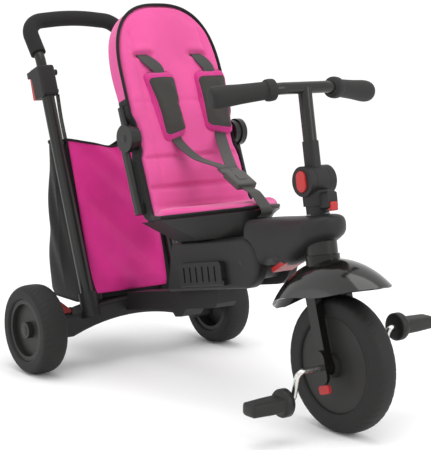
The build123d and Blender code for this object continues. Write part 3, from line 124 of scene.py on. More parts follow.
class TricycleColours(bpy.types.PropertyGroup):
    """Colours of the finishes, in linear RGB."""

    liner: colour("Liner", "Pink of the seat liner", (0.62, 0.078, 0.265))
    hood: colour("Hood", "Pink of the pocket over the backrest", (0.62, 0.085, 0.28))
    sleeve: colour("Sleeve", "Deeper pink of the shoulder pads", (0.50, 0.030, 0.20))
    bag: colour("Bag", "Magenta of the bag front", (0.63, 0.023, 0.232))
    cloth_black: colour("Black cloth", "Black fabric and binding", (0.010, 0.010, 0.010))
    patch: colour("Patch", "Dark patch on the shoulder pads", (0.036, 0.033, 0.030))
    webbing: colour("Webbing", "Harness webbing", (0.030, 0.029, 0.026))
    body: colour("Body", "Textured plastic of the body and arm", (0.013, 0.012, 0.0125))
    gloss: colour("Gloss", "Glossy black plastic", (0.006, 0.0055, 0.005))
    grey: colour("Grey", "Dark grey plastic of the fittings", (0.014, 0.0135, 0.013))
    red: colour("Red", "Buttons and levers", (0.42, 0.022, 0.024))
    # Red of the brake pedal darkened as painted shade: it stands in for the shadow the bag casts on the pedal
    brake: colour("Brake", "Dull red of the brake pedal", (0.17, 0.018, 0.017))
    buckle: colour("Buckle", "Mid grey buckle", (0.060, 0.059, 0.056))
    hub: colour("Hub", "Wheel discs", (0.021, 0.0205, 0.0195))
    tyre: colour("Tyre", "Foam tyres", (0.009, 0.0088, 0.0085))
    grip: colour("Grip", "Rubber grips", (0.012, 0.012, 0.0115))
    foam: colour("Foam", "Foam of the push handle", (0.010, 0.0098, 0.0095))
    tube: colour("Tube", "Painted tubes", (0.011, 0.0107, 0.010))
    steel: colour("Steel", "Plated crank", (0.62, 0.62, 0.60))
    dark_steel: colour("Dark steel", "Blackened pins and screws", (0.060, 0.058, 0.055))


def sizes():
    """The scene's sizes."""
    return bpy.context.scene.tricycle_sizes


def colours():
    """The scene's colours."""
    return bpy.context.scene.tricycle_colours


# Curves and profiles
def together(*parts):
    """Coordinates side by side, as the last axis."""
    return np.stack(np.broadcast_arrays(*parts), axis=-1)


def unit(vectors):
    """Vectors scaled to length one."""
    return vectors / np.maximum(np.linalg.norm(vectors, axis=-1, keepdims=True), 1e-12)


def curve_through(points, count):
    """Catmull-Rom curve: each stretch is a cubic whose end slopes follow the neighbouring points."""
    p = np.asarray(points, float)
    p = np.vstack([2 * p[0] - p[1], p, 2 * p[-1] - p[-2]])
    t = np.linspace(0, len(p) - 3, count)
    i = np.minimum(t.astype(int), len(p) - 4)
    f = (t - i)[:, None]
    a, b, c, d = p[i], p[i + 1], p[i + 2], p[i + 3]
    cubic = (3 * b - a - 3 * c + d) * f ** 3
    return 0.5 * (2 * b + (c - a) * f + (2 * a - 5 * b + 4 * c - d) * f ** 2 + cubic)


def run_length(path):
    """Distance along a path at each of its points."""
    return np.concatenate([[0.0], np.cumsum(np.linalg.norm(np.diff(path, axis=0), axis=1))])


def from_ends(reach):
    """Distance of each point of a path from the nearer end."""
    return np.minimum(reach - reach[0], reach[-1] - reach)


def ring(count):
    """Angles once round, without the last one."""
    return np.linspace(0, 2 * math.pi, count, endpoint=False)


def quarter(count):
    """Angles from zero to a quarter turn."""
    return np.linspace(0, math.pi / 2, count)


def soft_box(angle, power):
    """Superellipse |a|^power + |b|^power = 1 at each angle: a circle at 2, squarer above."""
    c, s = np.cos(angle), np.sin(angle)
    reach = (np.abs(c) ** power + np.abs(s) ** power) ** (-1.0 / power)
    return reach * c, reach * s


def profile_of(half_a, half_b, power, count):
    """Closed soft-box profile of two half widths, spaced evenly by angle."""
    a, b = soft_box(ring(count), power)
    return together(half_a * a, half_b * b)


def carry(profile, path, across, closed=False):
    """A profile carried along a path: its first coordinate runs along across, its second square to it."""
    if closed:
        tangent = unit(np.roll(path, -1, axis=0) - np.roll(path, 1, axis=0))
    else:
        tangent = unit(np.gradient(path, axis=0))
    across = np.broadcast_to(np.asarray(across, float), path.shape)
    across = unit(across - np.sum(across * tangent, axis=1, keepdims=True) * tangent)
    normal = np.cross(tangent, across)
    profile = np.broadcast_to(profile, (len(path),) + np.shape(profile)[-2:])
    return path[:, None] + profile[..., :1] * across[:, None] + profile[..., 1:] * normal[:, None]


def tube_along(path, radius, sides=12):
    """Round cord carried along a closed path."""
    return carry(profile_of(radius, radius, 2, sides), path, (0.31, 0.87, 0.38), closed=True)


def end_rows(length, rounding, count):
    """Distances along a path that crowd together at both rounded ends."""
    head = rounding * (1 - np.cos(quarter(8)))
    middle = np.linspace(rounding, length - rounding, count)[1:-1]
    return np.concatenate([head, middle, length - head[::-1]])


def dome(distance, edge):
    """Quarter ellipse: 0 at a pad's edge, 1 from edge inwards."""
    share = np.clip(distance / edge, 0, 1)
    return np.sqrt(1 - (1 - share) ** 2)


def valley(value, middle, width):
    """Bell curve, 1 at its middle, for a seam or crease."""
    return np.exp(-((value - middle) / width) ** 2)


def seams(value, rows):
    """Creases and swells together: bell curves given by place, height and width."""
    return sum(height * valley(value, place, width) for place, height, width in rows)


def smooth_step(value, low, high):
    """0 below low, 1 above high, with a smooth rise."""
    share = np.clip((value - low) / (high - low), 0, 1)
    return share * share * (3 - 2 * share)


def window(value, low, risen, falling, high):
    """Smooth rise from low to risen, and smooth fall from falling to high."""
    return smooth_step(value, low, risen) * (1 - smooth_step(value, falling, high))


# Finishes
class Finish:
    """A Principled material that is being wired up."""

    def __init__(self, name):
        self.material = bpy.data.materials.new(name)
        self.material.use_nodes = True
        self.tree = self.material.node_tree
        self.shader = self.tree.nodes["Principled BSDF"]

    def add(self, kind, output, settings=None, **sockets):
        """A new node's output; its sockets are given as numbers or as other nodes' outputs."""
        made = self.tree.nodes.new(kind)
        for key, value in (settings or {}).items():
            setattr(made, key, value)
        for key, value in sockets.items():
            self.feed(made.inputs[key.replace("_", " ")], value)
        return made.outputs[output]

    def feed(self, socket, value):
        """Link an output to a socket, or set a number on it."""
        if isinstance(value, bpy.types.NodeSocket):
            self.tree.links.new(value, socket)
        else:
            socket.default_value = value

    def shader_takes(self, **sockets):
        """Feed the shader's own sockets, and give back the finished material."""
        for key, value in sockets.items():
            self.feed(self.shader.inputs[key.replace("_", " ")], value)
        return self.material

    @cached_property
    def places(self):
        """Outputs of the material's texture coordinates."""
        return self.tree.nodes.new("ShaderNodeTexCoord").outputs

    def noise(self, scale, detail):
        """Clouds or specks fixed to the piece."""
        return self.add("ShaderNodeTexNoise", "Fac", Vector=self.places["Object"], Scale=scale, Detail=detail)

    def threads(self, direction, pitch):
        """Waves on the unrolled cloth, one to a pitch."""
        return self.add("ShaderNodeTexWave", "Fac", {"bands_direction": direction}, Vector=self.places["UV"],
                        Scale=2 * math.pi / 20 / pitch)

    def crossed(self, operation, first, second):
        """Two rows of threads as one weave."""
        made = self.tree.nodes.new("ShaderNodeMath")
        made.operation = operation
        self.tree.links.new(first, made.inputs[0])
        self.tree.links.new(second, made.inputs[1])
        return made.outputs["Value"]

    def shade(self, factor, base, spread):
        """Colour that wanders between a darker and a lighter shade of one base."""
        ramp = self.tree.nodes.new("ShaderNodeValToRGB")
        self.tree.links.new(factor, ramp.inputs["Fac"])
        darker, lighter = ramp.color_ramp.elements
        darker.position, lighter.position = 0.3, 0.7
        darker.color = [c * (1 - spread) for c in base] + [1.0]
        lighter.color = [min(c * (1 + spread), 1.0) for c in base] + [1.0]
        return ramp.outputs["Color"]

    def gloss(self, factor, low, high):
        """Roughness that runs from low to high with a factor."""
        return self.add("ShaderNodeMapRange", "Result", Value=factor, To_Min=low, To_Max=high)

    def bump(self, height, depth, strength):
        """Relief that follows a height."""
        return self.add("ShaderNodeBump", "Normal", Height=height, Distance=depth, Strength=strength)


def plastic(name, base, roughness, grain=900.0, depth=0.00004, coat=0.0, shine=0.3):
    """Moulded plastic: fine spark-erosion grain as bump, with faint clouds of shade and gloss."""
    made = Finish(name)
    specks = made.noise(grain, 2.0)
    return made.shader_takes(
        Base_Color=made.shade(made.noise(14.0, 3.0), base, 0.08),
        Roughness=made.gloss(specks, roughness - 0.05, roughness + 0.05),
        Normal=made.bump(specks, depth, 0.6),
        Coat_Weight=coat, Coat_Roughness=0.06, Specular_IOR_Level=shine)


def foam(name, base, roughness, cell, depth):
    """Closed-cell foam or rubber: small cells as bump, matte."""
    made = Finish(name)
    cells = made.add("ShaderNodeTexVoronoi", "Distance", Vector=made.places["Object"], Scale=cell)
    clouds = made.noise(22.0, 4.0)
    return made.shader_takes(
        Base_Color=made.shade(clouds, base, 0.16),
        Roughness=made.gloss(clouds, roughness - 0.08, roughness + 0.06),
        Normal=made.bump(cells, depth, 0.5), Specular_IOR_Level=0.35)


def metal(name, base, roughness):
    """Plated steel: faint drawing marks in the gloss."""
    made = Finish(name)
    marks = made.noise(260.0, 5.0)
    return made.shader_takes(
        Base_Color=made.shade(marks, base, 0.06),
        Roughness=made.gloss(marks, roughness - 0.06, roughness + 0.08), Metallic=1.0)


def cloth(name, base, thread=0.0011, roughness=0.82, sheen=0.25, spread=0.10):
    """Plain woven cloth: two crossing rows of threads on the unrolled cloth, with soft shade."""
    made = Finish(name)
    weave = made.crossed("MAXIMUM", made.threads("X", thread), made.threads("Y", thread))
    return made.shader_takes(
        Base_Color=made.shade(made.noise(9.0, 5.0), base, spread),
        Roughness=made.gloss(weave, roughness + 0.08, roughness - 0.04),
        Normal=made.bump(weave, 0.00022, 0.55),
        Sheen_Weight=sheen, Sheen_Roughness=0.4, Specular_IOR_Level=0.25)


def webbing(name, base):
    """Harness webbing: ribs along its length crossed by fine picks, on the strap's own UV."""
    made = Finish(name)
    ribs = made.threads("Y", 0.0021)
    weave = made.crossed("ADD", ribs, made.threads("DIAGONAL", 0.0014))
    return made.shader_takes(
        Base_Color=made.shade(ribs, base, 0.18), Normal=made.bump(weave, 0.0002, 0.6),
        Roughness=0.72, Sheen_Weight=0.12)


# Each finish's maker, colour, and the maker's further values in order
RECIPES = {
    "body_plastic": (plastic, "body", 0.50, 700.0, 0.00006),
    "gloss_plastic": (plastic, "gloss", 0.16, 160.0, 0.00001, 0.4, 0.4),
    "fork_plastic": (plastic, "gloss", 0.20, 160.0, 0.00001, 0.15, 0.25),
    "grey_plastic": (plastic, "grey", 0.46, 800.0, 0.00005),
    "red_plastic": (plastic, "red", 0.40, 600.0, 0.00003, 0.15),
    # The brake pedal's darker red is painted shade from the bag above it
    "brake_plastic": (plastic, "brake", 0.55, 600.0, 0.00003, 0.0, 0.2),
    "buckle_plastic": (plastic, "buckle", 0.45),
    "hub_plastic": (plastic, "hub", 0.50, 650.0, 0.00006),
    "tyre_foam": (foam, "tyre", 0.66, 500.0, 0.00012),
    "grip_rubber": (foam, "grip", 0.68, 650.0, 0.00015),
    "handle_foam": (foam, "foam", 0.85, 420.0, 0.0003),
    "black_tube": (plastic, "tube", 0.34, 500.0, 0.00003, 0.1),
    "steel": (metal, "steel", 0.24),
    "dark_steel": (metal, "dark_steel", 0.36),
    "pink_fabric": (cloth, "liner"),
    "bag_fabric": (cloth, "bag", 0.0009, 0.66, 0.1, 0.14),
    "black_fabric": (cloth, "cloth_black", 0.0009, 0.74, 0.1),
    "webbing": (webbing, "webbing"),
    "hood_fabric": (cloth, "hood"),
    "sleeve_fabric": (cloth, "sleeve"),
    "patch_fabric": (cloth, "patch", 0.0008, 0.78, 0.15),
}
FINISHES = {}
# Rigid pieces whose finish isn't their slot's
# The brake pedal gets the darker red of painted shade
NODE_FINISH = {"fork": "fork_plastic", "hub_covers": "fork_plastic", "brake_pedal": "brake_plastic",
               "body_screws": "dark_steel", "stem_pin": "dark_steel", "hinge_pins": "dark_steel",
               "rear_axles": "dark_steel"}


class TRICYCLE_OT_finishes(bpy.types.Operator):
    """Make the finishes and give every rigid piece its own."""

    bl_idname = "tricycle.finishes"
    bl_label = "Finishes"

    def execute(self, context):
        for name, (make, shade, *values) in RECIPES.items():
            FINISHES[name] = make(name, getattr(colours(), shade), *values)
        for part in frame["record"]["subparts"]:
            held = frame["nodes"][part["node"]].data.materials
            held.clear()
            held.append(FINISHES[NODE_FINISH.get(part["node"], part["material_slot"])])
        return {"FINISHED"}


# Meshes from grids of points: open, closed across the rows, or closed both ways
SHEET, ROUND, LOOP = 0, 1, 2


def grid_faces(rows, cols, closed):
    """Quads between neighbouring points of a grid, counted row by row."""
    i, j = np.meshgrid(np.arange(rows - (closed < LOOP)), np.arange(cols - (closed < ROUND)), indexing="ij")
    below, beside = (i + 1) % rows, (j + 1) % cols
    return together(i * cols + j, i * cols + beside, below * cols + beside, below * cols + j).reshape(-1, 4)


def piece(name, finish, grids, flats=None, closed=SHEET, body=None, stands_for=()):
    """A smooth mesh over one grid of points, or over several that stay separate shells.

    Doubled points are merged, so a row that shrinks to a point or a line closes the surface, and
    its faces then point outwards.  flats gives each point's place in the unrolled cloth, as UV.
    """
    if isinstance(grids, np.ndarray):
        grids, flats = [grids], None if flats is None else [flats]
    starts = np.cumsum([0] + [g.shape[0] * g.shape[1] for g in grids])
    faces = [grid_faces(*g.shape[:2], closed) + start for g, start in zip(grids, starts)]
    points = np.concatenate([g.reshape(-1, 3) for g in grids])
    mesh = bpy.data.meshes.new(name)
    mesh.from_pydata(points.tolist(), [], np.concatenate(faces).tolist())
    if flats is not None:
        places = np.concatenate([f.reshape(-1, 2) for f in flats])
        corner = np.empty(len(mesh.loops), dtype=np.int32)
        mesh.loops.foreach_get("vertex_index", corner)
        layer = mesh.uv_layers.new(name="Flat")
        layer.data.foreach_set("uv", places[corner].astype(np.float32).ravel())
    work = bmesh.new()
    work.from_mesh(mesh)
    bmesh.ops.remove_doubles(work, verts=work.verts, dist=1e-6)
    bmesh.ops.recalc_face_normals(work, faces=work.faces)
    work.to_mesh(mesh)
    work.free()
    mesh.polygons.foreach_set("use_smooth", np.ones(len(mesh.polygons), dtype=bool))
    mesh.materials.append(FINISHES[finish])
    thing = bpy.data.objects.new(name, mesh)
    bpy.context.scene.collection.objects.link(thing)
    if body:
        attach(thing, body)
    if stands_for:
        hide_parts(*stands_for)
    return thing


def bend_with_back(thing):
    """Bake a soft piece's transform into its mesh."""
    start = BACK.at(0.0, 0.0, -HINGE_SOFTEN)
    end = BACK.at(0.0, 0.0, HINGE_SOFTEN)
    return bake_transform(thing, "chassis", "backrest", start=tuple(start), end=tuple(end))


# Cloth: flat sizes, thickness and the settling of padding
FACE_WAY = np.array([0.5, 0.0, 0.866])
SETTLE_FRAMES = 20
SETTLE_PRESSURE = 4.0
SETTLE_PARTS = 40


def row_steps(points):
    """Lengths between neighbouring points along the rows and along the columns of a grid."""
    return [np.linalg.norm(np.diff(points, axis=axis), axis=-1) for axis in (1, 0)]


def cut_size(points):
    """Widest row, longest column and area of a sheet's grid, by two triangles to a face."""
    across, along = row_steps(points)
    a, b, c, d = points[:-1, :-1], points[:-1, 1:], points[1:, 1:], points[1:, :-1]
    doubled = (np.cross(d - a, b - a), np.cross(d - c, b - c))
    area = 0.5 * sum(np.linalg.norm(each, axis=-1).sum() for each in doubled)
    return across.sum(axis=1).max(), along.sum(axis=0).max(), area


def flat_of(points):
    """Each point's place in the unrolled sheet, from lengths along its rows and columns."""
    across, along = row_steps(points)
    u = np.pad(across.cumsum(axis=1), ((0, 0), (1, 0)))
    v = np.pad(along.cumsum(axis=0), ((1, 0), (0, 0)))
    return together(u - u.max(axis=1, keepdims=True) / 2, v)


def cloth_piece(name, finish, strips, thickness, offset=-1.0, flats=None, **more):
    """A piece of cloth over one or more grids, with a live modifier for its thickness."""
    thing = piece(name, finish, strips, flats or [flat_of(strip) for strip in strips], **more)
    modifier = thing.modifiers.new("Thickness", "SOLIDIFY")
    modifier.thickness = thickness
    modifier.offset = offset
    modifier.use_even_offset = True
    return thing


def declare_sheet(strips):
    """Work out the widths, lengths and areas a cloth piece was cut to, from strips side by side, each a grid
    of points; nothing keeps them.
    """
    widths, lengths, areas = np.array([cut_size(strip) for strip in strips]).T


def mesh_points(mesh, key="co"):
    """A mesh's vertices, or their normals, as rows."""
    flat = np.empty(len(mesh.vertices) * 3)
    mesh.vertices.foreach_get(key, flat)
    return flat.reshape(-1, 3)


def as_evaluated(thing):
    """An object with its modifiers worked out."""
    return thing.evaluated_get(bpy.context.evaluated_depsgraph_get())


def nearest_mean(points, rest, shift, count=8):
    """Mean shift of the nearest rest points, weighted by closeness."""
    gap = np.maximum((points ** 2).sum(1)[:, None] + (rest ** 2).sum(1)[None] - 2 * points @ rest.T, 0)
    near = np.argpartition(gap, count, axis=1)[:, :count]
    weight = 1 / (np.take_along_axis(gap, near, axis=1) + 1e-6)
    return (shift[near] * weight[..., None]).sum(axis=1) / weight.sum(axis=1)[:, None]


def settle(thing, cell, cap, riders=()):
    """Plump a pad with the cloth solver.

    An even remesh of the pad is blown up under pressure; each point of the pad's face then follows
    the nearest points of the remesh, by no more than cap, and its underside stays where it lies.
    Riders are pieces sewn to its face, which move with it.
    """
    scene = bpy.context.scene
    twin = bpy.data.objects.new("settle", thing.data.copy())
    scene.collection.objects.link(twin)
    even = twin.modifiers.new("Even", "REMESH")
    even.mode = "VOXEL"
    even.voxel_size = cell
    mesh = bpy.data.meshes.new_from_object(as_evaluated(twin))
    twin.modifiers.clear()
    twin.data = mesh
    rest = mesh_points(mesh)
    solver = twin.modifiers.new("Cloth", "CLOTH")
    solver.settings.use_pressure = True
    solver.settings.uniform_pressure_force = SETTLE_PRESSURE
    solver.settings.effector_weights.gravity = 0.0
    solver.collision_settings.use_collision = False
    for step in range(1, SETTLE_FRAMES + 1):
        scene.frame_set(step)
    shift = mesh_points(as_evaluated(twin).data) - rest
    scene.frame_set(1)
    bpy.data.objects.remove(twin)
    shift = shift * np.minimum(1, cap / np.maximum(np.linalg.norm(shift, axis=1), 1e-9))[:, None]
    facing = smooth_step(mesh_points(thing.data, "normal") @ FACE_WAY, 0.0, 0.5)[:, None]
    for each, share in [(thing, facing)] + [(rider, 1.0) for rider in riders]:
        points = mesh_points(each.data)
        chunks = np.array_split(points, SETTLE_PARTS)
        moved = np.concatenate([nearest_mean(chunk, rest, shift) for chunk in chunks])
        each.data.vertices.foreach_set("co", (points + moved * share).ravel())
        each.data.update()


# Pads
def edge_distance(s, y, outline):
    """Distance of each plan point from the nearest point of the outline."""
    plan = together(s, y).reshape(-1, 1, 2)
    return np.linalg.norm(plan - outline[None], axis=-1).min(axis=1).reshape(s.shape)


def plan_loop(s, half, count=20):
    """Closed outline of a pad in (s, y)."""
    side = together(s, half)
    low = together(s[-1], np.linspace(half[-1], -half[-1], count))
    top = together(s[0], np.linspace(-half[0], half[0], count))
    return np.concatenate([side, low[1:-1], side[::-1] * [1, -1], top[1:-1]])


def closed_pad(place, s, half, thickness, backing, edge, outline, relief, columns):
    """Grid round a pad: its crowned face from one edge to the other and its backing the way back.

    Face height is thickness times a quarter ellipse of the distance from the edge, plus relief
    that fades out towards the edge; the backing bulges the other way by backing.
    """
    across = np.sin(np.linspace(-math.pi / 2, math.pi / 2, columns))
    s_grid, y_grid = np.broadcast_arrays(s[:, None], half[:, None] * across)
    gap = edge_distance(s_grid, y_grid, outline)
    rise = dome(gap, edge)
    face = thickness * rise + relief(s_grid, y_grid) * smooth_step(gap, 0, edge)
    faces = (s_grid, y_grid, face), (s_grid, y_grid, -backing * rise)
    s_loop, y_loop, height = (np.concatenate([up, down[:, -2:0:-1]], axis=1) for up, down in zip(*faces))
    return place(s_loop, y_loop, height), together(y_loop, s_loop)


# Seat liner
PAN_NOSE = 0.108
PAN_NOSE_HALF = 0.042
PAN_NOSE_ROUND = 0.020
PAN_HALF = 0.131
PAN_REAR_HALF = 0.116
PAN_FLARE = 0.066
PAN_LIFT = 0.0006
BACK_HALF = 0.112
BACK_SHOULDER = 0.112
BACK_ARCH_POWER = 2.6
BACK_TOP = 0.252
BACK_REST = -0.0018
BEND_R = 0.032
HINGE_WAIST = 0.0062
HINGE_REACH = 0.030
PIPING_LIFT = 0.0108
PAN_PIPING_LIFT = 0.0045
NOSE_RUN = 0.05
TOP_RUN = 0.06
SLOT_U = 0.152
SLOT_SPANS = ((-0.076, -0.044), (0.045, 0.077))
LINER_BACKING = 0.0012
LINER_CELL = 0.006
LINER_PLUMP = 0.003
GUSSET_FROM = 0.0005
GUSSET_DEPTH = 0.018
GUSSET_CLEAR = 0.0012
LINER_COLUMNS = 90
HOOD_HEM = 0.062
BOLSTER_HEIGHT = 0.0032
BOLSTER_SPAN = (0.080, 0.098)
WAVE_HEIGHT = 0.0009
PAN_WAVE_HEIGHT = 0.0016
SMILE_DROP = 0.018
SMILE_HALF = 0.11
DISH_DEPTH = 0.0032
DISH_AT = 0.09
DISH_WIDTH = 0.05
# Seams and the swells beside them: place, height and width
LINER_SEAMS = ((-0.043, -0.0052, 0.0042), (-0.100, -0.0058, 0.0046),
               (-0.071, 0.0030, 0.018), (-0.128, 0.0022, 0.014))
BOLSTER_SEAM = ((0.079, -0.0022, 0.004),)
HEM_SEAM = ((HOOD_HEM, -0.0012, 0.005),)
SLOT_DIP = ((0.0, -0.0070, 0.0045), (0.013, 0.0024, 0.008))
SMILE_FOLD = ((0.0, -0.0060, 0.006), (-0.020, 0.0030, 0.012))


def arc_through(a, b, c):
    """Centre and radius of the circle through three points of a plane."""
    a, b, c = (np.array(p, float) for p in (a, b, c))
    centre = np.linalg.solve(2 * np.stack([b - a, c - a]), [b @ b - a @ a, c @ c - a @ a])
    return centre, np.linalg.norm(a - centre)


class LinerLine:
    """The liner's middle line: along the pan from its nose, round a bend, and up the back to its top.

    Distance s is measured along the underside.  The pan is a straight run in the body frame, the
    back a straight run in the backrest frame, and the bend an arc tangent to both.
    """

    def __init__(self):
        nose = BODY.at(PAN_NOSE, 0.0, PAN_LIFT)
        top = BACK.at(BACK_REST, 0.0, BACK_TOP)
        ways = np.stack([BODY.x[[0, 2]], -BACK.z[[0, 2]]], axis=1)
        gap = (BACK.at(BACK_REST, 0.0, 0.0) - BODY.at(0.0, 0.0, PAN_LIFT))[[0, 2]]
        corner = BODY.at(np.linalg.solve(ways, gap)[0], 0.0, PAN_LIFT)
        self.turn = math.acos(float(np.dot(-BODY.x, BACK.z)))
        trim = BEND_R * math.tan(self.turn / 2)
        self.pan_run = np.linalg.norm(corner - nose) - trim
        self.bend_end = self.pan_run + BEND_R * self.turn
        self.length = self.bend_end + (np.linalg.norm(top - corner) - trim)
        self.centre = corner + trim * BODY.x + BEND_R * BODY.z

    def back_u(self, s):
        """Backrest-frame height at distance s on the back."""
        return BACK_TOP - (self.length - s)

    def s_of_u(self, u):
        """Distance along at backrest-frame height u."""
        return self.length - (BACK_TOP - u)

    def at(self, s, y, height):
        """World point at distance s along, y across and height off the underside."""
        s, y, height = (each[..., None] for each in np.broadcast_arrays(s, y, height))
        angle = np.clip((s - self.pan_run) / BEND_R, 0, self.turn)
        normal = np.cos(angle) * BODY.z + np.sin(angle) * BODY.x
        along = -np.cos(angle) * BODY.x + np.sin(angle) * BODY.z
        straight = np.minimum(s - self.pan_run, 0) + np.maximum(s - self.bend_end, 0)
        return self.centre - BEND_R * normal + straight * along + y * BACK.y + height * normal

    def half_width(self, s):
        """Tapered nose, flared pan, narrow waist at the hinges, straight back and arched shoulders."""
        x = PAN_NOSE - s
        taper = PAN_NOSE - PAN_NOSE_ROUND
        centre, radius = arc_through((taper, PAN_NOSE_HALF), (PAN_NOSE, 0), (taper, -PAN_NOSE_HALF))
        nose = np.sqrt(np.maximum(radius ** 2 - (x - centre[0]) ** 2, 0))
        side = PAN_HALF + (PAN_NOSE_HALF - PAN_HALF) * x / taper
        flare = PAN_REAR_HALF + (PAN_HALF - PAN_REAR_HALF) * np.clip(1 + x / PAN_FLARE, 0, 1)
        u = self.back_u(s)
        share = np.clip((u - BACK_SHOULDER) / (BACK_TOP - BACK_SHOULDER), 0, 1)
        back = BACK_HALF * (1 - share ** BACK_ARCH_POWER) ** (1 / BACK_ARCH_POWER)
        back = back - HINGE_WAIST * (1 - smooth_step(np.abs(u), HINGE_REACH * 0.75, HINGE_REACH * 1.5))
        seat = np.where(x > taper, nose, np.minimum(side, flare))
        mix = smooth_step(s, self.pan_run - 0.01, self.bend_end)
        return seat * (1 - mix) + back * mix


LINE = LinerLine()


def piping_lift(s):
    """Height of the piping off the liner's underside: low round the pan, near the face up the back."""
    rise = smooth_step(s, LINE.pan_run - 0.03, LINE.bend_end)
    return PAN_PIPING_LIFT + (PIPING_LIFT - PAN_PIPING_LIFT) * rise


def liner_rows():
    """Distances along the liner, crowded at the nose and at the arched top."""
    nose = NOSE_RUN * (1 - np.cos(quarter(22)))
    middle = np.linspace(NOSE_RUN, LINE.length - TOP_RUN, 190)[1:-1]
    return np.concatenate([nose, middle, LINE.length - TOP_RUN * np.linspace(1, 0, 44) ** 5])


def liner_relief(s, y):
    """Hollows and swells of the liner's face: bolsters, sewn seams, strap slots and slack waves."""
    u = LINE.back_u(s)
    on_back = smooth_step(u, -0.02, 0.05)
    on_seat = 1 - smooth_step(s, LINE.pan_run - 0.03, LINE.pan_run)
    side = np.abs(y)
    bolster = BOLSTER_HEIGHT * smooth_step(side, *BOLSTER_SPAN) * on_back
    bolster += seams(side, BOLSTER_SEAM) * smooth_step(u, -0.12, -0.05) * (u < 0.2)
    sewn = seams(u, LINER_SEAMS) * (1 - 0.35 * (side / BACK_HALF) ** 2) + seams(u, HEM_SEAM)
    slots = seams(u - SLOT_U, SLOT_DIP) * sum(window(y, low - 0.012, low + 0.004, high - 0.004, high + 0.012)
                                              for low, high in SLOT_SPANS)
    smile = LINE.pan_run + 0.35 * BEND_R * LINE.turn - SMILE_DROP * (y / SMILE_HALF) ** 2
    waves = WAVE_HEIGHT * np.sin(u * 52 + y * 31) * np.sin(y * 44 - u * 17) * on_back
    pan = PAN_WAVE_HEIGHT * np.sin(s * 61 + y * 23) * np.sin(y * 38) * on_seat
    dish = -DISH_DEPTH * valley(y, 0.0, DISH_WIDTH) * valley(s, DISH_AT, DISH_WIDTH)
    return bolster + sewn + slots + seams(s - smile, SMILE_FOLD) + waves + pan + dish


class TRICYCLE_OT_liner(bpy.types.Operator):
    """Quilted seat liner over the pan and the back, with its piping and its black edge."""

    bl_idname = "tricycle.liner"
    bl_label = "Seat liner"

    def execute(self, context):
        size = sizes()
        rows = liner_rows()
        half = LINE.half_width(rows)
        points, flat = closed_pad(LINE.at, rows, half, size.liner_thickness, LINER_BACKING, size.liner_edge,
                                  plan_loop(rows, half, 40), liner_relief, LINER_COLUMNS)
        liner = piece("seat_liner", "pink_fabric", points, flat, ROUND)
        settle(liner, LINER_CELL, LINER_PLUMP)
        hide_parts("seat_pad", "back_pad")
        bend_with_back(liner)
        edge = np.concatenate([rows, rows[::-1]])
        path = LINE.at(edge, np.concatenate([half, -half[::-1]]), piping_lift(edge))
        path = path[np.diff(run_length(path), prepend=-1.0) > 1e-5]
        cord = tube_along(path, size.piping_radius)
        bend_with_back(piece("liner_piping", "black_fabric", cord, closed=LOOP))
        low = rows[(rows > GUSSET_FROM) & (rows < LINE.s_of_u(HOOD_HEM))][:, None]
        depth = GUSSET_DEPTH * smooth_step(low, LINE.pan_run, LINE.bend_end)
        rise = np.linspace(0, 1, 8)
        height = piping_lift(low) * rise - depth * (1 - rise)
        out = LINE.half_width(low) + GUSSET_CLEAR
        walls = [LINE.at(low, side * out, height) for side in (-1, 1)]
        gusset = cloth_piece("liner_gusset", "black_fabric", walls, GUSSET_CLEAR, 0.0)
        declare_sheet(walls)
        bend_with_back(gusset)
        return {"FINISHED"}


# Pocket over the backrest
HOOD_DEPTH = 0.0366
HOOD_FRONT = 0.0070
HOOD_CLEAR = 0.0014
HOOD_BULGE = 0.004
HOOD_SLACK = 0.0012
HOOD_ROUND = 0.045
HOOD_POWER = 4.0
HOOD_CLOTH = 0.0014
HEM_BAND = 0.010
HEM_LAP = 0.001
HEM_LIFT = 0.0007
HEM_CLOTH = 0.0030


def hood_points(u, columns=120):
    """Sheet round the back of the shell: from one front edge back, across and forward again.

    Each row is half a soft box in (y, n), as wide as the back's outline there and as deep as the
    hood, and its depth runs out along a quarter superellipse towards the top.
    """
    u = u[:, None]
    angle = np.linspace(0, math.pi, columns)
    across, back = soft_box(angle, 7.0)
    half = LINE.half_width(LINE.s_of_u(u)) + HOOD_CLEAR
    closing = (1 - np.clip(1 - (BACK_TOP - u) / HOOD_ROUND, 0, 1) ** HOOD_POWER) ** (1 / HOOD_POWER)
    belly = HOOD_BULGE * np.sin(np.clip((u - HOOD_HEM) / (BACK_TOP - HOOD_HEM), 0, 1) * math.pi)
    n = HOOD_FRONT - (HOOD_DEPTH * closing + belly) * back
    slack = HOOD_SLACK * np.sin(u * 70) * np.sin(4 * angle) * closing
    return BACK.at(n + slack, (half + belly * np.sin(angle) ** 2) * across, u)


class TRICYCLE_OT_hood(bpy.types.Operator):
    """Pink pocket over the top of the backrest, with its black hem."""

    bl_idname = "tricycle.hood"
    bl_label = "Backrest pocket"

    def execute(self, context):
        low = HOOD_HEM + np.linspace(-HEM_LAP, HEM_BAND, 6)
        band = hood_points(low)
        outward = unit(band - BACK.at(HOOD_FRONT, 0.0, low)[:, None])
        hem = cloth_piece("hood_hem", "black_fabric", [band + HEM_LIFT * outward], HEM_CLOTH,
                          flats=[flat_of(band)], body="backrest")
        points = hood_points(HOOD_HEM + (BACK_TOP - HOOD_HEM) * np.sin(quarter(70)))
        hood = cloth_piece("back_hood", "hood_fabric", [points], HOOD_CLOTH, body="backrest",
                           stands_for=["back_pocket"])
        declare_sheet([points])
        return {"FINISHED"}


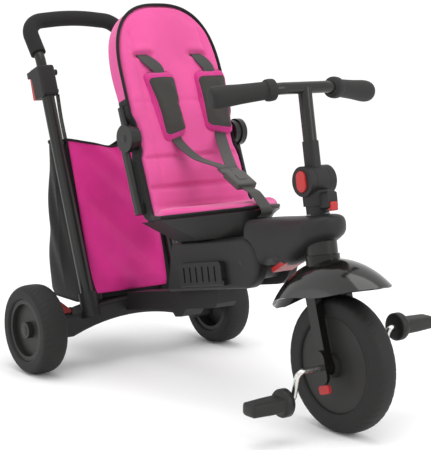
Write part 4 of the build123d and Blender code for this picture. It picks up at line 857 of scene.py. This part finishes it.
# Shoulder pads, by side: ends of the middle line up the back, half widths, lean, strap slot and strap's sag
SHOULDER = {
    -1: {"top": (-0.0390, 0.118), "low": (-0.029, -0.010), "half": (0.034, 0.0255),
         "skew": 0.30, "slot": -0.060, "droop": 0.010},
    1: {"top": (0.0755, 0.118), "low": (0.0700, -0.004), "half": (0.034, 0.029),
        "skew": -0.22, "slot": 0.061, "droop": 0.004},
}
SHOULDER_CORNER = 0.013
SHOULDER_CLEAR = 0.0006
PAD_BOLSTER = 0.0030
PAD_BOLSTER_SPAN = (0.078, 0.1)
PAD_SWELL = 0.0010
SLEEVE_COLUMNS = 44
PATCH_COLUMNS = 36
SLEEVE_BACKING = 0.0004
SLEEVE_CELL = 0.004
SLEEVE_PLUMP = 0.004
PAD_EDGE = 0.009
PATCH_INSET = 0.0030
PATCH_HEAD = 0.0125
PATCH_FOOT = 0.0075
PATCH_CORNER = 0.009
PATCH_THICKNESS = 0.0011
PATCH_BACKING = 0.0006
PATCH_EDGE = 0.003
CORD_R = 0.0011
CORD_LIFT = 0.0004


def shoulder_place(spec):
    """Pad frame: distance s down from the pad's top, y across it and height off the liner's face."""
    top, low = np.array(spec["top"]), np.array(spec["low"])
    length = np.linalg.norm(low - top)
    down = (low - top) / length

    def at(s, y, height):
        wide = top[0] + down[0] * s + y
        tall = top[1] + down[1] * s + spec["skew"] * y * np.clip(s / length, 0, 1) ** 2
        bolster = PAD_BOLSTER * smooth_step(np.abs(wide), *PAD_BOLSTER_SPAN)
        face = BACK_REST + sizes().liner_thickness + bolster
        return BACK.at(face + SHOULDER_CLEAR + height, wide, tall)

    return at, length


def pad_half(s, length, half, corner, start=0.0):
    """Half width down a pad, or a patch that starts lower: straight tapered sides and round corners."""
    tapered = half[0] + (half[1] - half[0]) * (s + start) / length
    return tapered - corner * (1 - dome(from_ends(s), corner))


def shoulder_swell(s, y):
    """Soft lengthwise swell of a shoulder pad's face."""
    return PAD_SWELL * np.sin(s * 70 + 0.6) * np.cos(y * 90)


class TRICYCLE_OT_shoulder_pads(bpy.types.Operator):
    """Shoulder pads: pink sleeves with dark patches and piped outlines."""

    bl_idname = "tricycle.shoulder_pads"
    bl_label = "Shoulder pads"

    def execute(self, context):
        thick = sizes().pad_thickness
        sleeves, patches, cords = [], [], []
        for spec in SHOULDER.values():
            at, length = shoulder_place(spec)
            s = end_rows(length, SHOULDER_CORNER, 60)
            half = pad_half(s, length, spec["half"], SHOULDER_CORNER)
            sleeves.append(closed_pad(at, s, half, thick, SLEEVE_BACKING, PAD_EDGE, plan_loop(s, half),
                                      shoulder_swell, SLEEVE_COLUMNS))
            inner = end_rows(length - PATCH_HEAD - PATCH_FOOT, PATCH_CORNER, 50)
            inner_half = pad_half(inner, length, spec["half"], PATCH_CORNER, PATCH_HEAD) - PATCH_INSET
            loop = plan_loop(inner, inner_half)

            def patch_at(s_in, y, height):
                down = s_in + PATCH_HEAD
                gap = np.minimum(np.interp(down, s, half) - np.abs(y), np.minimum(down, s[-1] - down))
                return at(down, y, (thick + shoulder_swell(down, y)) * dome(gap, PAD_EDGE) + height)

            patches.append(closed_pad(patch_at, inner, inner_half, PATCH_THICKNESS, PATCH_BACKING, PATCH_EDGE,
                                      loop, lambda s_in, y: 0.0, PATCH_COLUMNS))
            cords.append(tube_along(patch_at(*loop.T, CORD_LIFT), CORD_R, 10))
        sleeve = piece("shoulder_sleeves", "sleeve_fabric", *zip(*sleeves), ROUND, None, ["shoulder_pads"])
        patch = piece("shoulder_patches", "patch_fabric", *zip(*patches), ROUND)
        cord = piece("shoulder_patch_piping", "sleeve_fabric", cords, closed=LOOP)
        settle(sleeve, SLEEVE_CELL, SLEEVE_PLUMP, (patch, cord))
        for thing in (sleeve, patch, cord):
            bend_with_back(thing)
        return {"FINISHED"}


# Harness
LOWER_SHARE = 0.92
SAG_SHARE = 0.45
UPPER_ROWS, LOWER_ROWS, CROTCH_ROWS, HANGER_ROWS = 60, 90, 80, 40
TONGUE_Y = 0.0105
TONGUE_HALVES = (0.0105, 0.0030)
TONGUE_ROUND = 0.0016
TONGUE_RUNS = ((-0.0420, -0.0405, 5), (-0.039, -0.0245, 8), (-0.0238, -0.0225, 5))
# Stops of a strap at its slot: off the back, up from the slot, and share of the way across to the pad
SLOT_STOPS = ((0.002, 0.003, 0.0), (0.0105, 0.0005, 0.0), (0.0165, -0.009, 0.15))
# Stops at the pad: down from its top, or past its lower end, and height off the liner
PAD_STOPS = ((-0.006, 0.0065), (0.012, 0.006))
LOWER_STOPS = ((-0.020, 0.0045), (0.006, 0.0060))
# Stops at the buckle: along it, share of the tongue's y, and up
TONGUE_STOPS = ((-0.047, 1.15, 0.0020), (-0.0335, 1.0, 0.0012))
# Crotch strap, along and up: on the buckle, then on the body
CROTCH_TOP = ((0.0215, 0.0), (0.030, -0.001))
CROTCH_LINE = ((0.100, 0.030), (0.1205, 0.0085), (0.1268, 0.0008), (0.1262, -0.0075), (0.1150, -0.0130))


def webbing_strip(stops, count, width, thickness, across=(0.0, 1.0, 0.0)):
    """Webbing on a smooth route: a flat rounded profile, thinned to nothing at its square-cut ends."""
    route = curve_through(stops, count)
    close = np.array([0.0, 0.02, 0.1, 0.3])[:, None]
    head = route[0] + (route[1] - route[0]) * close
    tail = route[-1] + (route[-2] - route[-1]) * close[::-1]
    path = np.concatenate([head, route[1:-1], tail])
    reach = run_length(path)
    profile = profile_of(width / 2, thickness / 2, 7, 36)
    rows = np.repeat(profile[None], len(path), axis=0)
    rows[:, :, 1] *= dome(from_ends(reach), thickness / 2)[:, None]
    return carry(rows, path, across), together(reach[:, None], run_length(profile))


def shoulder_strap_route(spec):
    """From inside the slot, out and down over the liner, into the top of the shoulder pad."""
    at, _ = shoulder_place(spec)
    slot_y = spec["slot"]
    across = spec["top"][0] - slot_y
    stops = [BACK.at(off, slot_y + share * across, SLOT_U + up) for off, up, share in SLOT_STOPS]
    return stops + [at(down, 0.0, height) for down, height in PAD_STOPS]


def lower_strap_route(side, spec):
    """From inside the pad's lower end, sagging, to the buckle tongue."""
    at, length = shoulder_place(spec)
    start, leave = (at(length + past, 0.0, height) for past, height in LOWER_STOPS)
    near, end = (BUCKLE.at(along, side * TONGUE_Y * share, up) for along, share, up in TONGUE_STOPS)
    sag = (1 - SAG_SHARE) * leave + SAG_SHARE * near - np.array([0.0, 0.0, spec["droop"]])
    return [start, leave, sag, near, end]


def tongue_points(y):
    """Buckle tongue: a soft box carried along the buckle's length, closed at both ends."""
    reach = np.concatenate([np.linspace(*run) for run in TONGUE_RUNS])
    profile = profile_of(*TONGUE_HALVES, 5, 32) * dome(from_ends(reach), TONGUE_ROUND)[:, None, None]
    return carry(profile, BUCKLE.at(reach, y, 0.0), (0, 1, 0))


class TRICYCLE_OT_harness(bpy.types.Operator):
    """Harness webbing from the slots to the buckle, and the crotch strap."""

    bl_idname = "tricycle.harness"
    bl_label = "Harness"

    def execute(self, context):
        width, thick = sizes().webbing_width, sizes().webbing_thickness
        upper = [webbing_strip(shoulder_strap_route(spec), UPPER_ROWS, width, thick)
                 for spec in SHOULDER.values()]
        piece("shoulder_webbing", "webbing", *zip(*upper), ROUND, "backrest", ["shoulder_straps"])
        lower = [webbing_strip(lower_strap_route(*each), LOWER_ROWS, width * LOWER_SHARE, thick)
                 for each in SHOULDER.items()]
        bend_with_back(piece("lower_webbing", "webbing", *zip(*lower), ROUND))
        tongues = [tongue_points(side * TONGUE_Y) for side in SHOULDER]
        piece("buckle_tongues", "buckle_plastic", tongues, None, ROUND, "chassis", ["lower_straps"])
        stops = [BUCKLE.at(x, 0.0, z) for x, z in CROTCH_TOP]
        stops += [BODY.at(x, 0.0, z) for x, z in CROTCH_LINE]
        strip = webbing_strip(stops, CROTCH_ROWS, width, thick)
        piece("crotch_webbing", "webbing", *strip, ROUND, "chassis", ["crotch_strap"])
        return {"FINISHED"}


# Bag
BAG_HALF = 0.092
BAG_LOW = 0.1276
BAG_FRONT = ((REAR_AXLE_X + 0.006, BAG_LOW), (REAR_AXLE_X - 0.086, 0.4314))
BAG_REAR = ((REAR_AXLE_X - 0.158, BAG_LOW), (REAR_AXLE_X - 0.166, 0.4234))
BAG_BORDER = 0.0035
BAG_CLOTH = 0.0016
BAG_SAG = 0.015
BAG_SLOUCH = 0.014
BAG_RIPPLE = 0.0022
BAG_FLOOR_DIP = 0.006
BAG_FLOOR_RINGS = 14
BAG_WALL_RINGS = 64
BAG_MOUTH_FROM = 0.60
BAG_MOUTH_POINTS = 320
FLOOR_SPREAD = (0.02, 0.93)
LIP_SPREAD = 0.955
SAG_SPAN = (0.03, 0.05)
SLOUCH_SPAN = (0.03, 0.15)
REAR_HEM_SAG = 0.034
FOLD_LIFT = 0.0108
FOLD_SLANT = (1.9, 0.62)
# Height, waves along the slant, waves across and phase of the panel's folds
PANEL_FOLDS = ((0.0064, 5.2, 0.0, 0.8), (0.0042, 11.0, -0.6, 2.0))
PANEL_FROM = 0.03
PANEL_FOOT = 0.12
PANEL_LIFT = 0.0024
PANEL_CLOTH = 0.0012
EDGE_FROM = 0.0700
EDGE_LIFT = 0.0008
EDGE_TUBE = 0.0110
EDGE_BEHIND = 0.004
EDGE_SPAN = (-0.012, 0.985)
BINDING_R = 0.0026
BINDING_INSET = 0.001
BINDING_LIFT = 0.0004
HANGER = (0.013, 0.0016)
HANGER_ACROSS = (1.0, 0.0, 0.3)
HANGER_STUD = (0.0225, 0.4195)
HANGER_INSET = (0.008, 0.006, 0.006)
HANGER_BOW = (-0.006, 0.002)


def bag_line(ends, share):
    """Point at a share of the way up one of the bag's edges, as x and z."""
    low, top = np.array(ends)
    mixed = low + (top - low) * share[..., None]
    return mixed[..., 0], mixed[..., 1]


def bag_shell_points(columns=150):
    """Bag as rings of a soft box: floor rings from the middle out, then wall rings up to the mouth.

    Side and back walls belly out most at a third of the height, slanting folds ripple them, and
    the floor behind the axle beam hangs lower and further back.  The mouth's front and rear hems
    hang down in the middle by a parabola.
    """
    rise = np.concatenate([np.zeros(BAG_FLOOR_RINGS), np.linspace(0, 1, BAG_WALL_RINGS) ** 1.15])[:, None]
    spread = np.concatenate([np.linspace(*FLOOR_SPREAD, BAG_FLOOR_RINGS), np.ones(BAG_WALL_RINGS)])[:, None]
    lip = smooth_step(np.arange(len(rise)), BAG_FLOOR_RINGS - 1, BAG_FLOOR_RINGS + 5)[:, None]
    spread = np.where(rise > 0, LIP_SPREAD + (1 - LIP_SPREAD) * lip, spread)
    angle = ring(columns)
    c, s = np.cos(angle), np.sin(angle)
    a, b = soft_box(angle, 6)
    ahead, side = np.clip(c, 0, 1) ** 0.5, np.clip(np.abs(b), 0, 1)
    front_x, front_z = bag_line(BAG_FRONT, rise)
    rear_x, rear_z = bag_line(BAG_REAR, rise)
    belly = sizes().bag_bulge * np.sin(math.pi * rise ** 0.7) ** 1.2
    ripple = BAG_RIPPLE * np.sin(9 * angle + 14 * rise) * np.sin(math.pi * rise) * (1 - ahead)
    x = (front_x + rear_x) / 2 + spread * (front_x - rear_x) / 2 * a
    x = x - belly * np.clip(-a, 0, 1) ** 4 * (1 - np.abs(b) ** 4) + ripple * np.sign(c) * c ** 2
    wide = BAG_HALF + belly * (1 - 0.96 * ahead) * (1 - np.clip(np.abs(a), 0, 1) ** 4)
    y = spread * wide * b + ripple * side * np.sign(s)
    share_front = np.clip(0.5 + 0.5 * a, 0, 1)
    z = rear_z * (1 - share_front) + front_z * share_front
    slack = (1 - rise) ** 2
    dip = BAG_FLOOR_DIP * (rise == 0) * (1 - spread ** 2)
    behind = REAR_AXLE_X - x
    z = z - (dip + BAG_SAG * slack) * smooth_step(behind, *SAG_SPAN)
    x = x - BAG_SLOUCH * slack * smooth_step(behind, *SLOUCH_SPAN)
    droop = np.where(c > 0, sizes().hem_sag, REAR_HEM_SAG) * (1 - side ** 2) * rise ** 3
    hang = np.where((c > 0)[:, None], TUBES[1].z, (0.0, 0.0, 1.0))
    return together(x, y, z) - droop[..., None] * hang


def bag_front_points(inset, lift, columns=70, rows=80):
    """Front panel: a slanting sheet whose top hem hangs in a shallow curve.

    Slanting sine folds lift it off the shell, and fade out where it is sewn down at its sides and foot.
    """
    across = np.linspace(-1, 1, columns)
    up = np.linspace(PANEL_FROM, 1.0, rows)[:, None]
    x, z = bag_line(BAG_FRONT, up)
    drop = sizes().hem_sag * (1 - across ** 2) * up ** 3
    slant = up * FOLD_SLANT[0] + across * FOLD_SLANT[1]
    folds = sum(height * np.sin(slant * along + side * across + phase)
                for height, along, side, phase in PANEL_FOLDS)
    swell = FOLD_LIFT * (1 - across ** 8) + folds * (1 - across ** 4)
    out = lift + swell * smooth_step(up, 0.0, PANEL_FOOT)
    tube = TUBES[1]
    return together(x, (BAG_HALF - inset) * across, z) + out[..., None] * tube.x - drop[..., None] * tube.z


def bag_edge_points(side, columns=8, rows=60):
    """Black edge of the bag: straight rules from its front corner to the handle tube beside it."""
    x, z = bag_line(BAG_FRONT, np.linspace(*EDGE_SPAN, rows))
    tube = TUBES[side]
    corner = together(x, side * EDGE_FROM, z) + EDGE_LIFT * tube.x
    seam = tube.at(-EDGE_BEHIND, -side * EDGE_TUBE, (z - tube.origin[2]) / tube.z[2])
    share = np.linspace(0, 1, columns)[None, :, None]
    return corner[:, None] * (1 - share) + seam[:, None] * share


def hanger_stops(side, tube):
    """Route of a bag hanger: from the stud on a handle tube, in a slight bow, to the bag's corner."""
    stud = tube.at(0.0, -side * HANGER_STUD[0], HANGER_STUD[1])
    (x, z), inset = BAG_FRONT[1], HANGER_INSET
    corner = np.array([x - inset[0], side * (BAG_HALF - inset[1]), z - inset[2]])
    bow = np.array([HANGER_BOW[0], -side * HANGER_BOW[1], 0.0])
    return [stud, 0.5 * (stud + corner) + bow, corner]


class TRICYCLE_OT_bag(bpy.types.Operator):
    """Storage bag between the handle tubes: black shell, magenta front, bound mouth and hangers."""

    bl_idname = "tricycle.bag"
    bl_label = "Bag"

    def execute(self, context):
        points = bag_shell_points()
        shell = cloth_piece("bag_shell", "black_fabric", [points], BAG_CLOTH, closed=ROUND, body="chassis",
                            stands_for=["bag_body"])
        panel = bag_front_points(BAG_BORDER, PANEL_LIFT)
        front = cloth_piece("bag_front_panel", "bag_fabric", [panel], PANEL_CLOTH, body="chassis",
                            stands_for=["bag_front"])
        declare_sheet([panel])
        hem = bag_front_points(BINDING_INSET, PANEL_LIFT + BINDING_LIFT)[-1]
        mouth = np.concatenate([hem, points[-1, np.cos(ring(points.shape[1])) < BAG_MOUTH_FROM]])
        mouth = curve_through(np.concatenate([mouth, mouth[:1]]), BAG_MOUTH_POINTS)[:-1]
        cord = tube_along(mouth, BINDING_R)
        binding = piece("bag_binding", "black_fabric", cord, None, LOOP, "chassis")
        wrapped = np.concatenate([points, points[:, :1]], axis=1)
        declare_sheet([wrapped])
        strips = [bag_edge_points(side) for side in TUBES]
        edges = cloth_piece("bag_edges", "black_fabric", strips, BAG_CLOTH, 0.0, body="chassis")
        declare_sheet(strips)
        hangers = [webbing_strip(hanger_stops(*each), HANGER_ROWS, *HANGER, HANGER_ACROSS)
                   for each in TUBES.items()]
        piece("bag_hangers", "webbing", *zip(*hangers), ROUND, "chassis", ["bag_straps"])
        return {"FINISHED"}


# Front arm
FOLD_PIN = (REAR_AXLE_X + 0.41818, 0.25468)
FOLD_CUT = 0.0454
ARM_REAR = FOLD_PIN[0] + 0.008
HEAD_X = REAR_AXLE_X + 0.566
ARM_TOP = ((0.150, 0.3265), (0.195, 0.3335), (0.274, 0.3455), (0.308, 0.3515), (0.352, 0.3590))
ARM_CREASE = ((0.150, 0.272), (0.195, 0.281), (0.279, 0.308), (0.352, 0.335))
ARM_LOW = ((0.150, 0.2300), (0.195, 0.2400), (0.222, 0.2500), (0.247, 0.2590), (0.272, 0.2700),
           (0.300, 0.2890), (0.330, 0.3080), (0.352, 0.3160))
ARM_HALF = 0.048
ARM_NOSE_R = 0.044
ARM_SQUARE_RUN = 0.085
SCOOP = (0.192, 0.246)
SCOOP_DEPTH = 0.0150


def line_at(points, x):
    """Height of a smooth line through points, at each x."""
    fine = curve_through(points, 400)
    return np.interp(x, fine[:, 0], fine[:, 1])


def arm_section(x, angle, nose):
    """Points of the arm's section at x: a soft box above its crease and a chamfered one below it.

    Each half is a superellipse from the widest line at the crease, squarest at the fold and round
    towards the head; nose shrinks it to the round front end.
    """
    upper = np.sin(angle) > 0
    toward = smooth_step(x, ARM_REAR, ARM_REAR + ARM_SQUARE_RUN)
    a, b = soft_box(angle, np.where(upper, 7.0 - 4.0 * toward, 7.0 - 5.0 * toward))
    crease = line_at(ARM_CREASE, x)
    middle = (SCOOP[0] + SCOOP[1]) / 2
    hollow = np.clip(1 - ((x - middle) / (middle - SCOOP[0])) ** 2, 0, 1)
    low = line_at(ARM_LOW, x) + SCOOP_DEPTH * hollow
    tall = np.where(upper, line_at(ARM_TOP, x) - crease, crease - low) * (1 - nose ** 4) ** 0.25
    half = ARM_HALF + (ARM_NOSE_R - ARM_HALF) * np.clip((x - ARM_REAR) / (HEAD_X - ARM_REAR), 0, 1)
    return half * np.sqrt(1 - nose ** 2) * a, crease + tall * b


def fold_cut(z):
    """Front x of the round cut about the fold pin, at each height."""
    return np.maximum(FOLD_PIN[0] + np.sqrt(np.maximum(FOLD_CUT ** 2 - (z - FOLD_PIN[1]) ** 2, 0)), ARM_REAR)


def arm_points(columns=120):
    """Arm as rings from the cut round the fold pin to the nose: rear cap, tapered run, round front."""
    angle = ring(columns)
    start = np.full(columns, ARM_REAR + 0.03)
    for _ in range(8):
        y, z = arm_section(start, angle, 0.0)
        start = fold_cut(z)
    middle = line_at(ARM_CREASE, ARM_REAR + 0.02)
    grow = np.linspace(0.02, 0.97, 9)[:, None]
    cap_z = middle + (z - middle) * grow
    cap = together(fold_cut(cap_z), y * grow, cap_z)
    x = start + (HEAD_X - start) * np.linspace(0, 1, 70)[:, None]
    run = together(x, *arm_section(x, angle, 0.0))
    nose = np.sin(quarter(26)[1:])[:, None]
    x = HEAD_X + ARM_NOSE_R * nose
    return np.concatenate([cap, run, together(x, *arm_section(x, angle, nose))])


class TRICYCLE_OT_arm(bpy.types.Operator):
    """Front arm: one tapered moulding from the fold to the round nose."""

    bl_idname = "tricycle.arm"
    bl_label = "Front arm"

    def execute(self, context):
        piece("arm_cover", "body_plastic", arm_points(), None, ROUND, "front_arm",
              ["arm_shell_left", "arm_shell_right"])
        return {"FINISHED"}


# Caps over pin and axle ends: body, centre, radius and sides
CAP_RISE = 0.0012
HUB_END = (REAR_AXLE_X, 0.2380, 0.085)
CAP_SPOTS = {
    "fold_pin_caps": ("chassis", (FOLD_PIN[0], ARM_HALF, FOLD_PIN[1]), 0.0085, (-1, 1)),
    "hinge_caps": ("chassis", (BACK.origin[0], 0.1304, BACK.origin[2]), 0.0080, (-1, 1)),
    "hub_cap_right": ("rear_wheel_right", HUB_END, 0.0095, (-1,)),
    "hub_cap_left": ("rear_wheel_left", HUB_END, 0.0095, (1,)),
}


def cap_points(centre, radius, side, columns=40):
    """Low dome on a face square to Y: rings shrink by a cosine while they rise by a sine."""
    lean = quarter(14)[:, None]
    turn = ring(columns)
    reach = radius * np.cos(lean)
    y = side * (centre[1] + CAP_RISE * np.sin(lean))
    return together(centre[0] + reach * np.cos(turn), y, centre[2] + reach * np.sin(turn))


class TRICYCLE_OT_caps(bpy.types.Operator):
    """Low domed caps over the ends of the fold pin, the backrest hinge and the rear axles."""

    bl_idname = "tricycle.caps"
    bl_label = "Pin caps"

    def execute(self, context):
        for name, (body, centre, radius, sides) in CAP_SPOTS.items():
            grids = [cap_points(centre, radius, side) for side in sides]
            piece(name, "grey_plastic", grids, None, ROUND, body)
        return {"FINISHED"}


# Tyres: body and inner radius
TYRES = {"front_tyre": ("front_wheel", 0.078), "rear_tyre_right": ("rear_wheel_right", 0.058),
         "rear_tyre_left": ("rear_wheel_left", 0.058)}


def tyre_points(box, inner):
    """Lathed tyre: a superellipse round in its outer half and square at the rim, with slanted grooves."""
    low, high = np.array(box)
    centre = (low + high) / 2
    _, half, outer = (high - low) / 2
    angle = ring(48)
    outward = np.sin(angle) > 0
    across, rise = soft_box(angle, np.where(outward, 2.7, 9.0))
    side = np.abs(across)
    count = sizes().tread_count
    turn = ring(count * 14)[:, None]
    shoulder = window(side, 0.25, 0.5, 0.9, 0.98) * outward
    grooves = valley(np.sin((count * turn + 5.0 * side ** 2) / 2), 0.0, 0.2) * shoulder
    radius = inner + (outer - inner) / 2 * (1 + rise) - sizes().tread_depth * grooves
    return together(centre[0] + radius * np.cos(turn), centre[1] + half * across,
                    centre[2] + radius * np.sin(turn))


class TRICYCLE_OT_tyres(bpy.types.Operator):
    """Round-shouldered tyres with fine tread grooves."""

    bl_idname = "tricycle.tyres"
    bl_label = "Tyres"

    def execute(self, context):
        for node, (body, inner) in TYRES.items():
            points = tyre_points(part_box(node), inner)
            piece(node.replace("tyre", "tread"), "tyre_foam", points, None, LOOP, body, [node])
        return {"FINISHED"}


# Grips: share of the length from the tip, and radius as a share of the rubber's
GRIP_SHAPE = ((0.0, 0.0), (0.004, 0.55), (0.012, 0.86), (0.035, 1.02), (0.10, 1.10), (0.20, 1.10),
              (0.45, 0.98), (0.78, 0.90), (0.83, 0.92), (0.845, 1.06), (0.90, 1.10), (0.955, 1.06),
              (0.975, 0.95), (1.0, 0.64))
GRIP_WAY = (0.030, 0.118, 0.013)
GRIP_END = 0.0004


def grip_points(cloud, inward):
    """Lathed grip along the bar's end: fat rounded tip, waist, and a collar at its inner end."""
    along = cloud @ inward
    tip = cloud[along < along.min() + GRIP_END].mean(axis=0)
    end = cloud[along > along.max() - GRIP_END].mean(axis=0)
    tip = end - inward * np.dot(end - tip, inward)
    bore = np.linalg.norm(cloud - end - ((cloud - end) @ inward)[:, None] * inward, axis=1).max()
    shape = curve_through(GRIP_SHAPE, 120)
    share = np.clip(np.maximum.accumulate(shape[:, 0]), 0, 1)
    path = tip + (end - tip) * share[:, None]
    turn = ring(56)[:, None]
    side = unit(np.cross(inward, (0.0, 0.0, 1.0)))
    spoke = np.cos(turn) * side + np.sin(turn) * np.cross(side, inward)
    return path[:, None] + (bore * np.maximum(shape[:, 1], 0))[:, None, None] * spoke


class TRICYCLE_OT_grips(bpy.types.Operator):
    """Rubber grips that swell towards their tips, with collars."""

    bl_idname = "tricycle.grips"
    bl_label = "Grips"

    def execute(self, context):
        cloud = mesh_points(frame["nodes"]["grips"].data)
        shapes = [grip_points(cloud[cloud[:, 1] * side > 0], unit(np.array(GRIP_WAY) * (1, -side, 1)))
                  for side in (-1, 1)]
        piece("grip_covers", "grip_rubber", shapes, None, ROUND, "handlebar", ["grips"])
        return {"FINISHED"}


# Pedals: share of the length, half widths as shares of the flange's, and the superellipse's power
PEDAL_SHAPE = (
    (0.000, 0.0, 0.0, 2.0), (0.001, 0.80, 0.80, 2.0), (0.010, 0.97, 0.97, 2.0), (0.035, 1.06, 1.06, 2.0),
    (0.150, 1.06, 1.06, 2.0), (0.180, 1.00, 1.00, 2.0), (0.190, 0.86, 0.62, 3.0), (0.205, 0.86, 0.56, 4.5),
    (0.500, 0.82, 0.54, 5.0), (0.875, 0.74, 0.49, 5.0), (0.895, 0.68, 0.44, 4.5), (0.908, 0.54, 0.34, 4.0),
    (0.913, 0.25, 0.16, 3.0), (0.915, 0.0, 0.0, 3.0))
PEDAL_RIB = 0.05


def pedal_points(box, side, columns=72):
    """Pedal carried out along its pin: a round flange, then a tapered ribbed block with a soft end.

    Each row is a superellipse whose two half widths and power run through the listed shapes.
    """
    low, high = np.array(box)
    pin = (low + high) / 2
    radius = (high[2] - low[2]) / 2
    inner = low[1] if side > 0 else high[1]
    shape = np.array(PEDAL_SHAPE)
    share = np.unique(np.concatenate([shape[:, 0], np.linspace(0.2, 0.89, 120)]))[:, None]
    wide, tall, power = (np.interp(share, shape[:, 0], column) for column in shape.T[1:])
    a, b = soft_box(ring(columns), power)
    on_block = window(share, 0.21, 0.24, 0.83, 0.86)
    ribs = 1 - PEDAL_RIB * on_block * np.clip(np.sin(share * 150), 0, 1)
    return together(pin[0] + radius * wide * a, inner + side * (high[1] - low[1]) * share,
                    pin[2] + radius * tall * b * ribs)


class TRICYCLE_OT_pedals(bpy.types.Operator):
    """Pedals: round flanges and tapered ribbed blocks."""

    bl_idname = "tricycle.pedals"
    bl_label = "Pedals"

    def execute(self, context):
        for node, side in (("pedal_right", -1), ("pedal_left", 1)):
            points = pedal_points(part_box(node), side)
            piece(node + "_cover", "grey_plastic", points, None, ROUND, node, [node])
        return {"FINISHED"}


# Stage, with each light's place, aim, size and power
FLOOR_HALF = 6.0
FLOOR_PALE = (0.96, 0.96, 0.96, 1.0)
SKY_STRENGTH = 1.06
LIGHTS = {
    "overhead": ((0.3, -0.3, 2.6), (0.0, 0.0, 0.3), (2.2, 1.6), 22.0),
    "front_window": ((2.6, 0.7, 1.5), (0.2, 0.0, 0.25), (0.9, 1.3), 16.0),
    "side_fill": ((0.2, -2.6, 1.1), (0.0, 0.0, 0.3), (1.6, 1.2), 5.0),
}
CAMERA_AT = (1.97074, -1.4555, 0.6716)
CAMERA_LOOK = (-0.7916, 0.5920, -0.1514)
CAMERA_LENS = 109.07


def put(name, data, at, way):
    """A light or camera in the scene, at a place and facing a way."""
    thing = bpy.data.objects.new(name, data)
    thing.location = at
    thing.rotation_euler = Vector(way).to_track_quat("-Z", "Y").to_euler()
    bpy.context.scene.collection.objects.link(thing)
    return thing


class TRICYCLE_OT_stage(bpy.types.Operator):
    """Pale floor, soft studio light and the camera."""

    bl_idname = "tricycle.stage"
    bl_label = "Stage"

    def execute(self, context):
        scene = context.scene
        corner = np.linspace(-FLOOR_HALF, FLOOR_HALF, 3)
        FINISHES["floor_pale"] = Finish("floor_pale").shader_takes(
            Base_Color=FLOOR_PALE, Roughness=0.9, Specular_IOR_Level=0.0)
        piece("floor", "floor_pale", together(corner[:, None], corner, 0.0))
        world = bpy.data.worlds.new("studio")
        world.use_nodes = True
        sky = world.node_tree.nodes["Background"].inputs
        sky["Color"].default_value = (1.0, 1.0, 1.0, 1.0)
        sky["Strength"].default_value = SKY_STRENGTH
        scene.world = world
        for name, (at, aim, size, watts) in LIGHTS.items():
            light = bpy.data.lights.new(name, "AREA")
            light.energy = watts
            light.shape = "RECTANGLE"
            light.size, light.size_y = size
            put(name, light, at, Vector(aim) - Vector(at))
        scene.view_settings.view_transform = "Standard"
        lens = bpy.data.cameras.new("photo_view")
        lens.lens = CAMERA_LENS
        scene.camera = put("photo_view", lens, CAMERA_AT, CAMERA_LOOK)
        return {"FINISHED"}


class TRICYCLE_PT_panel(bpy.types.Panel):
    """Lists the tricycle's operators, sizes and colours."""

    bl_label = "Tricycle"
    bl_idname = "TRICYCLE_PT_panel"
    bl_space_type = "VIEW_3D"
    bl_region_type = "UI"
    bl_category = "Tricycle"

    def draw(self, context):
        layout = self.layout
        for step in STEPS:
            layout.operator(step.bl_idname)
        for group in (context.scene.tricycle_sizes, context.scene.tricycle_colours):
            box = layout.box()
            for name in group.__annotations__:
                box.prop(group, name)


STEPS = (TRICYCLE_OT_finishes, TRICYCLE_OT_liner, TRICYCLE_OT_hood, TRICYCLE_OT_shoulder_pads,
         TRICYCLE_OT_harness, TRICYCLE_OT_bag, TRICYCLE_OT_arm, TRICYCLE_OT_caps,
         TRICYCLE_OT_tyres, TRICYCLE_OT_grips, TRICYCLE_OT_pedals, TRICYCLE_OT_stage)
CLASSES = (TricycleSizes, TricycleColours) + STEPS + (TRICYCLE_PT_panel,)


def register():
    for each in CLASSES:
        bpy.utils.register_class(each)
    bpy.types.Scene.tricycle_sizes = PointerProperty(type=TricycleSizes)
    bpy.types.Scene.tricycle_colours = PointerProperty(type=TricycleColours)


def unregister():
    del bpy.types.Scene.tricycle_colours
    del bpy.types.Scene.tricycle_sizes
    for each in reversed(CLASSES):
        bpy.utils.unregister_class(each)


def main():
    register()
    for step in STEPS:
        category, name = step.bl_idname.split(".")
        getattr(getattr(bpy.ops, category), name)()


if __name__ == "__main__":
    main()
